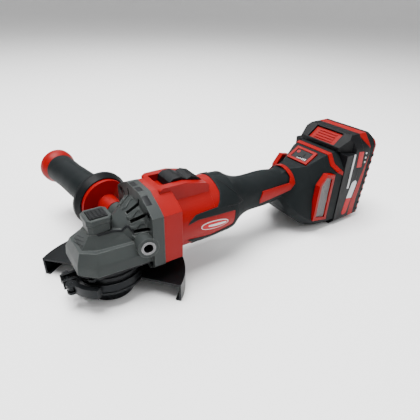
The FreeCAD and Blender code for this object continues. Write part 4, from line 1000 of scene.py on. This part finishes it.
@dataclass
class Battery:
    """Labels and bumps on the battery's two sides."""

    side_at: float = 38.0
    label_rise: float = 0.22
    label_low: Outline = ((279.4, 52.0), (288.2, 50.6))
    label_high: Outline = ((278.0, 70.8), (286.6, 69.6))
    mark_count: int = 3
    mark_pitch: float = 5.4
    bump_count: int = 9
    bump_pitch: float = 8.6
    first_bump: float = -7.0
    bump_half: tuple[float, float] = (1.9, 1.8)
    bumper_foot: float = 298.6
    bumper_lean: float = 0.078
    capsule_half: float = 4.6
    capsule_lean: tuple[float, float] = (6.8, 43.0)
    capsule_foot: tuple[float, float] = (275.7, -3.5)
    capsule_split: tuple[float, float] = (278.4, 13.5)
    capsule_head: tuple[float, float] = (282.0, 30.5)

    def on_side(self, side: float) -> Placer:
        """Surface coordinates on a side of the battery.

        Args:
            side: NEAR or FAR.

        Returns:
            A function of x and z.
        """
        def place(spot: Array, rise: Array) -> Array:
            """Point at the side plus a rise."""
            return np.stack((spot[..., 0], side * (self.side_at + rise), spot[..., 1]), -1)
        return place

    def build(self) -> None:
        """Builds both sides' labels and bumps."""
        for side, hand in ((NEAR, "near"), (FAR, "far")):
            place = self.on_side(side)
            patch(self.label_low, self.label_high, place, self.label_rise, edge=0.4).piece(
                f"label_high_{hand}", Finishes.PRINT, "battery")
            marks = [self.mark(place, number) for number in range(self.mark_count)]
            marks[0].joined(*marks[1:]).piece(f"label_marks_{hand}", Finishes.LIGHT, "battery")
            self.capsule(place, hand)
            self.bumps(place, hand)

    def mark(self, place: Placer, number: int) -> Form:
        """One small mark of the row beside the label.

        Args:
            place: surface coordinates of the side.
            number: its place in the row, counted down from the top.

        Returns:
            The mark.
        """
        drop = self.mark_pitch * number
        low = [(290.6 + 0.5 * number, 66.0 - drop), (293.2 + 0.4 * number, 65.6 - drop)]
        high = [(290.4 + 0.5 * number, 68.0 - drop), (293.0 + 0.4 * number, 67.6 - drop)]
        return patch(low, high, place, height=0.2, edge=0.2, rows=6, columns=12)

    def bumps(self, place: Placer, hand: str) -> None:
        """A row of small bumps up the bumper, centred on x = bumper_foot + bumper_lean (z + guard depth).

        Args:
            place: surface coordinates of the side.
            hand: name of the side.
        """
        made = []
        wide, tall = self.bump_half
        for number in range(self.bump_count):
            high = self.first_bump + self.bump_pitch * number
            along = self.bumper_foot + self.bumper_lean * (high + GUARD_DEPTH)
            made.append(patch([(along - wide, high - tall), (along + wide, high - tall)],
                              [(along - wide, high + tall), (along + wide, high + tall)], place,
                              height=0.55, edge=0.9, rows=8, columns=12))
        made[0].joined(*made[1:]).piece(f"bumper_bumps_{hand}", Finishes.RUBBER, "battery")

    def capsule(self, place: Placer, hand: str) -> None:
        """A slanted capsule label, its lower part red and its upper part pale.

        Args:
            place: surface coordinates of the side.
            hand: name of the side.
        """
        foot, split, head = (np.array(end) for end in (self.capsule_foot, self.capsule_split,
                                                       self.capsule_head))
        for name, start, end, round_start, finish in (("red", foot, split, True, Finishes.PRINT),
                                                      ("pale", split, head, False, Finishes.LIGHT)):
            low, high = (self.capsule_line(sign, start, end, round_start) for sign in (-1, 1))
            patch(low, high, place, self.label_rise, edge=0.3).piece(
                f"capsule_{name}_{hand}", finish, "battery")

    def capsule_line(self, sign: int, start: Array, end: Array, round_start: bool) -> list:
        """One long side of a capsule part: a straight run and a quarter turn of its round end.

        Args:
            sign: which side of the middle line, -1 or 1.
            start: lower end of the middle line.
            end: its upper end.
            round_start: the lower end is the round one.

        Returns:
            The side's points from the lower end to the upper.
        """
        lean = np.array(self.capsule_lean) / np.hypot(*self.capsule_lean)
        across = np.array((lean[1], -lean[0])) * sign * self.capsule_half
        rounded, square = (start, end) if round_start else (end, start)
        outward = lean * self.capsule_half * (-1 if round_start else 1)
        turns = np.linspace(0.05, np.pi / 2, 12)
        bow = [rounded + outward * np.cos(turn) + across * np.sin(turn) for turn in turns]
        line = bow + [square + across]
        return [tuple(point) for point in (line if round_start else line[::-1])]


@dataclass
class SlideSwitch:
    """Grip ridges on the rear hump of the slide switch, which slopes down from hump_top."""

    ridge_count: int = 4
    ridge_pitch: float = 1.7
    first_ridge: float = 79.9
    ridge_half: float = 8.8
    hump_top: tuple[float, float] = (79.0, 78.0)
    hump_fall: tuple[float, float] = (2.6, 7.0)

    def build(self) -> None:
        """Builds the ridges across the hump."""
        ridges = []
        drop, length = self.hump_fall
        up = np.array((drop, 0.0, length)) / np.hypot(drop, length)
        for number in range(self.ridge_count):
            along = self.first_ridge + self.ridge_pitch * number
            high = self.hump_top[1] - (along - self.hump_top[0]) * drop / length
            path = run([(along, -self.ridge_half, high), (along, self.ridge_half, high)], 4)
            ridges.append(bead(path, up, width=0.9, height=0.45, sink=0.4))
        ridges[0].joined(*ridges[1:]).piece("switch_ridges", Finishes.BLACK, "switch", bevel=0.15)


@dataclass
class Studio:
    """Floor with its curved backdrop, lights and camera.

    The floor's profile is (radius, height), in metres.  The camera looks at the grinder from an azimuth
    and elevation, in degrees, and is rolled about its own line of sight.
    """

    bowl: Outline = ((0.001, 0.0), (3.0, 0.0), (4.5, 0.0), (5.2, 0.12), (5.7, 0.45), (5.95, 0.95), (6.0, 1.6),
                     (6.0, 5.0))
    bowl_steps: int = 96
    world_strength: float = 0.55
    lens: float = 31.508
    eye: tuple[float, float, float] = (-0.20368, -0.31602, 0.23303)
    azimuth: float = -124.761
    elevation: float = 30.311
    roll: float = 1.853

    def build(self) -> None:
        """Sets the floor, the world, three soft lights and the camera."""
        self.floor()
        world = bpy.data.worlds.new("studio")
        bpy.context.scene.world = world
        world.use_nodes = True
        background = world.node_tree.nodes["Background"]
        background.inputs["Color"].default_value = (1.0, 1.0, 1.0, 1.0)
        background.inputs["Strength"].default_value = self.world_strength
        self.light("key", (-0.25, 0.05, 1.5), 66.0, 0.9)
        self.light("fill", (0.4, -0.9, 1.1), 6.0, 0.8)
        self.light("back", (0.3, 0.9, 1.2), 9.0, 0.8)
        self.camera()

    def floor(self) -> None:
        """The pale floor: its profile turned about the vertical, point (r cos t, r sin t, height)."""
        radius, high = np.array(self.bowl).T
        count = len(radius)
        turn = np.linspace(0.0, 2.0 * np.pi, self.bowl_steps, endpoint=False)[:, None]
        rings = np.stack((radius * np.cos(turn), radius * np.sin(turn), high + 0.0 * turn), -1)
        i, j = np.meshgrid(np.arange(self.bowl_steps), np.arange(count - 1), indexing="ij")
        here, beside = i * count + j, (i + 1) % self.bowl_steps * count + j
        quads = np.stack((here, here + 1, beside + 1, beside), -1)
        mesh = bpy.data.meshes.new("floor")
        mesh.from_pydata(rings.reshape(-1, 3).tolist(), [], quads.reshape(-1, 4).tolist())
        mesh.shade_smooth()
        floor = bpy.data.objects.new("floor", mesh)
        bpy.context.scene.collection.objects.link(floor)
        shader = Shader("pale_floor")
        tone = shader.mix(shader.noise(400.0, 2.0), (0.93, 0.93, 0.93, 1.0), (0.90, 0.90, 0.90, 1.0))
        shader.feed(shader.surface.inputs["Base Color"], tone)
        shader.feed(shader.surface.inputs["Roughness"], 0.9)
        shader.feed(shader.surface.inputs["Specular IOR Level"], 0.0)
        mesh.materials.append(shader.material)

    def light(self, name: str, place: tuple[float, float, float], power: float, size: float) -> None:
        """Adds one soft light aimed at the middle of the grinder.

        Args:
            name: the light's name.
            place: where it hangs, in metres.
            power: in watts.
            size: side of its square, in metres.
        """
        data = bpy.data.lights.new(name, "AREA")
        data.energy = power
        data.size = size
        lamp = bpy.data.objects.new(name, data)
        bpy.context.scene.collection.objects.link(lamp)
        low, high = (np.array(corner) for corner in CAD_BOX)
        lamp.matrix_world = self.facing(np.array(place) - (low + high) / 2.0, place)

    @staticmethod
    def facing(back: Array, place: Sequence[float], roll: float = 0.0) -> Matrix:
        """The transform of a lamp or camera.

        Args:
            back: direction that its back points in.
            place: where it is, in metres.
            roll: turn about that direction, in degrees.

        Returns:
            The transform, whose axes are level right cos(roll) + level up sin(roll), up and back.
        """
        back = back / np.linalg.norm(back)
        level = np.cross((0.0, 0.0, 1.0), back)
        level /= np.linalg.norm(level)
        right = level * np.cos(np.radians(roll)) + np.cross(back, level) * np.sin(np.radians(roll))
        whole = np.eye(4)
        whole[:3, 0], whole[:3, 1], whole[:3, 2], whole[:3, 3] = right, np.cross(back, right), back, place
        return Matrix(whole.tolist())

    def camera(self) -> None:
        """Adds the camera and makes it the scene's."""
        data = bpy.data.cameras.new("camera")
        data.lens = self.lens
        data.clip_start = 0.01
        camera = bpy.data.objects.new("camera", data)
        bpy.context.scene.collection.objects.link(camera)
        around, over = np.radians((self.azimuth, self.elevation))
        back = np.array((np.cos(over) * np.cos(around), np.cos(over) * np.sin(around), np.sin(over)))
        camera.matrix_world = self.facing(back, self.eye, self.roll)
        bpy.context.scene.camera = camera


def main() -> None:
    """Builds the studio, dresses the frame and adds the visual pieces."""
    logging.basicConfig(level=logging.INFO, format="%(message)s")
    Studio().build()
    FrameNodes().dress()
    MotorSleeve().build()
    GearHead().build()
    ControlPanel().build()
    Battery().build()
    SlideSwitch().build()


if __name__ == "__main__":
    main()
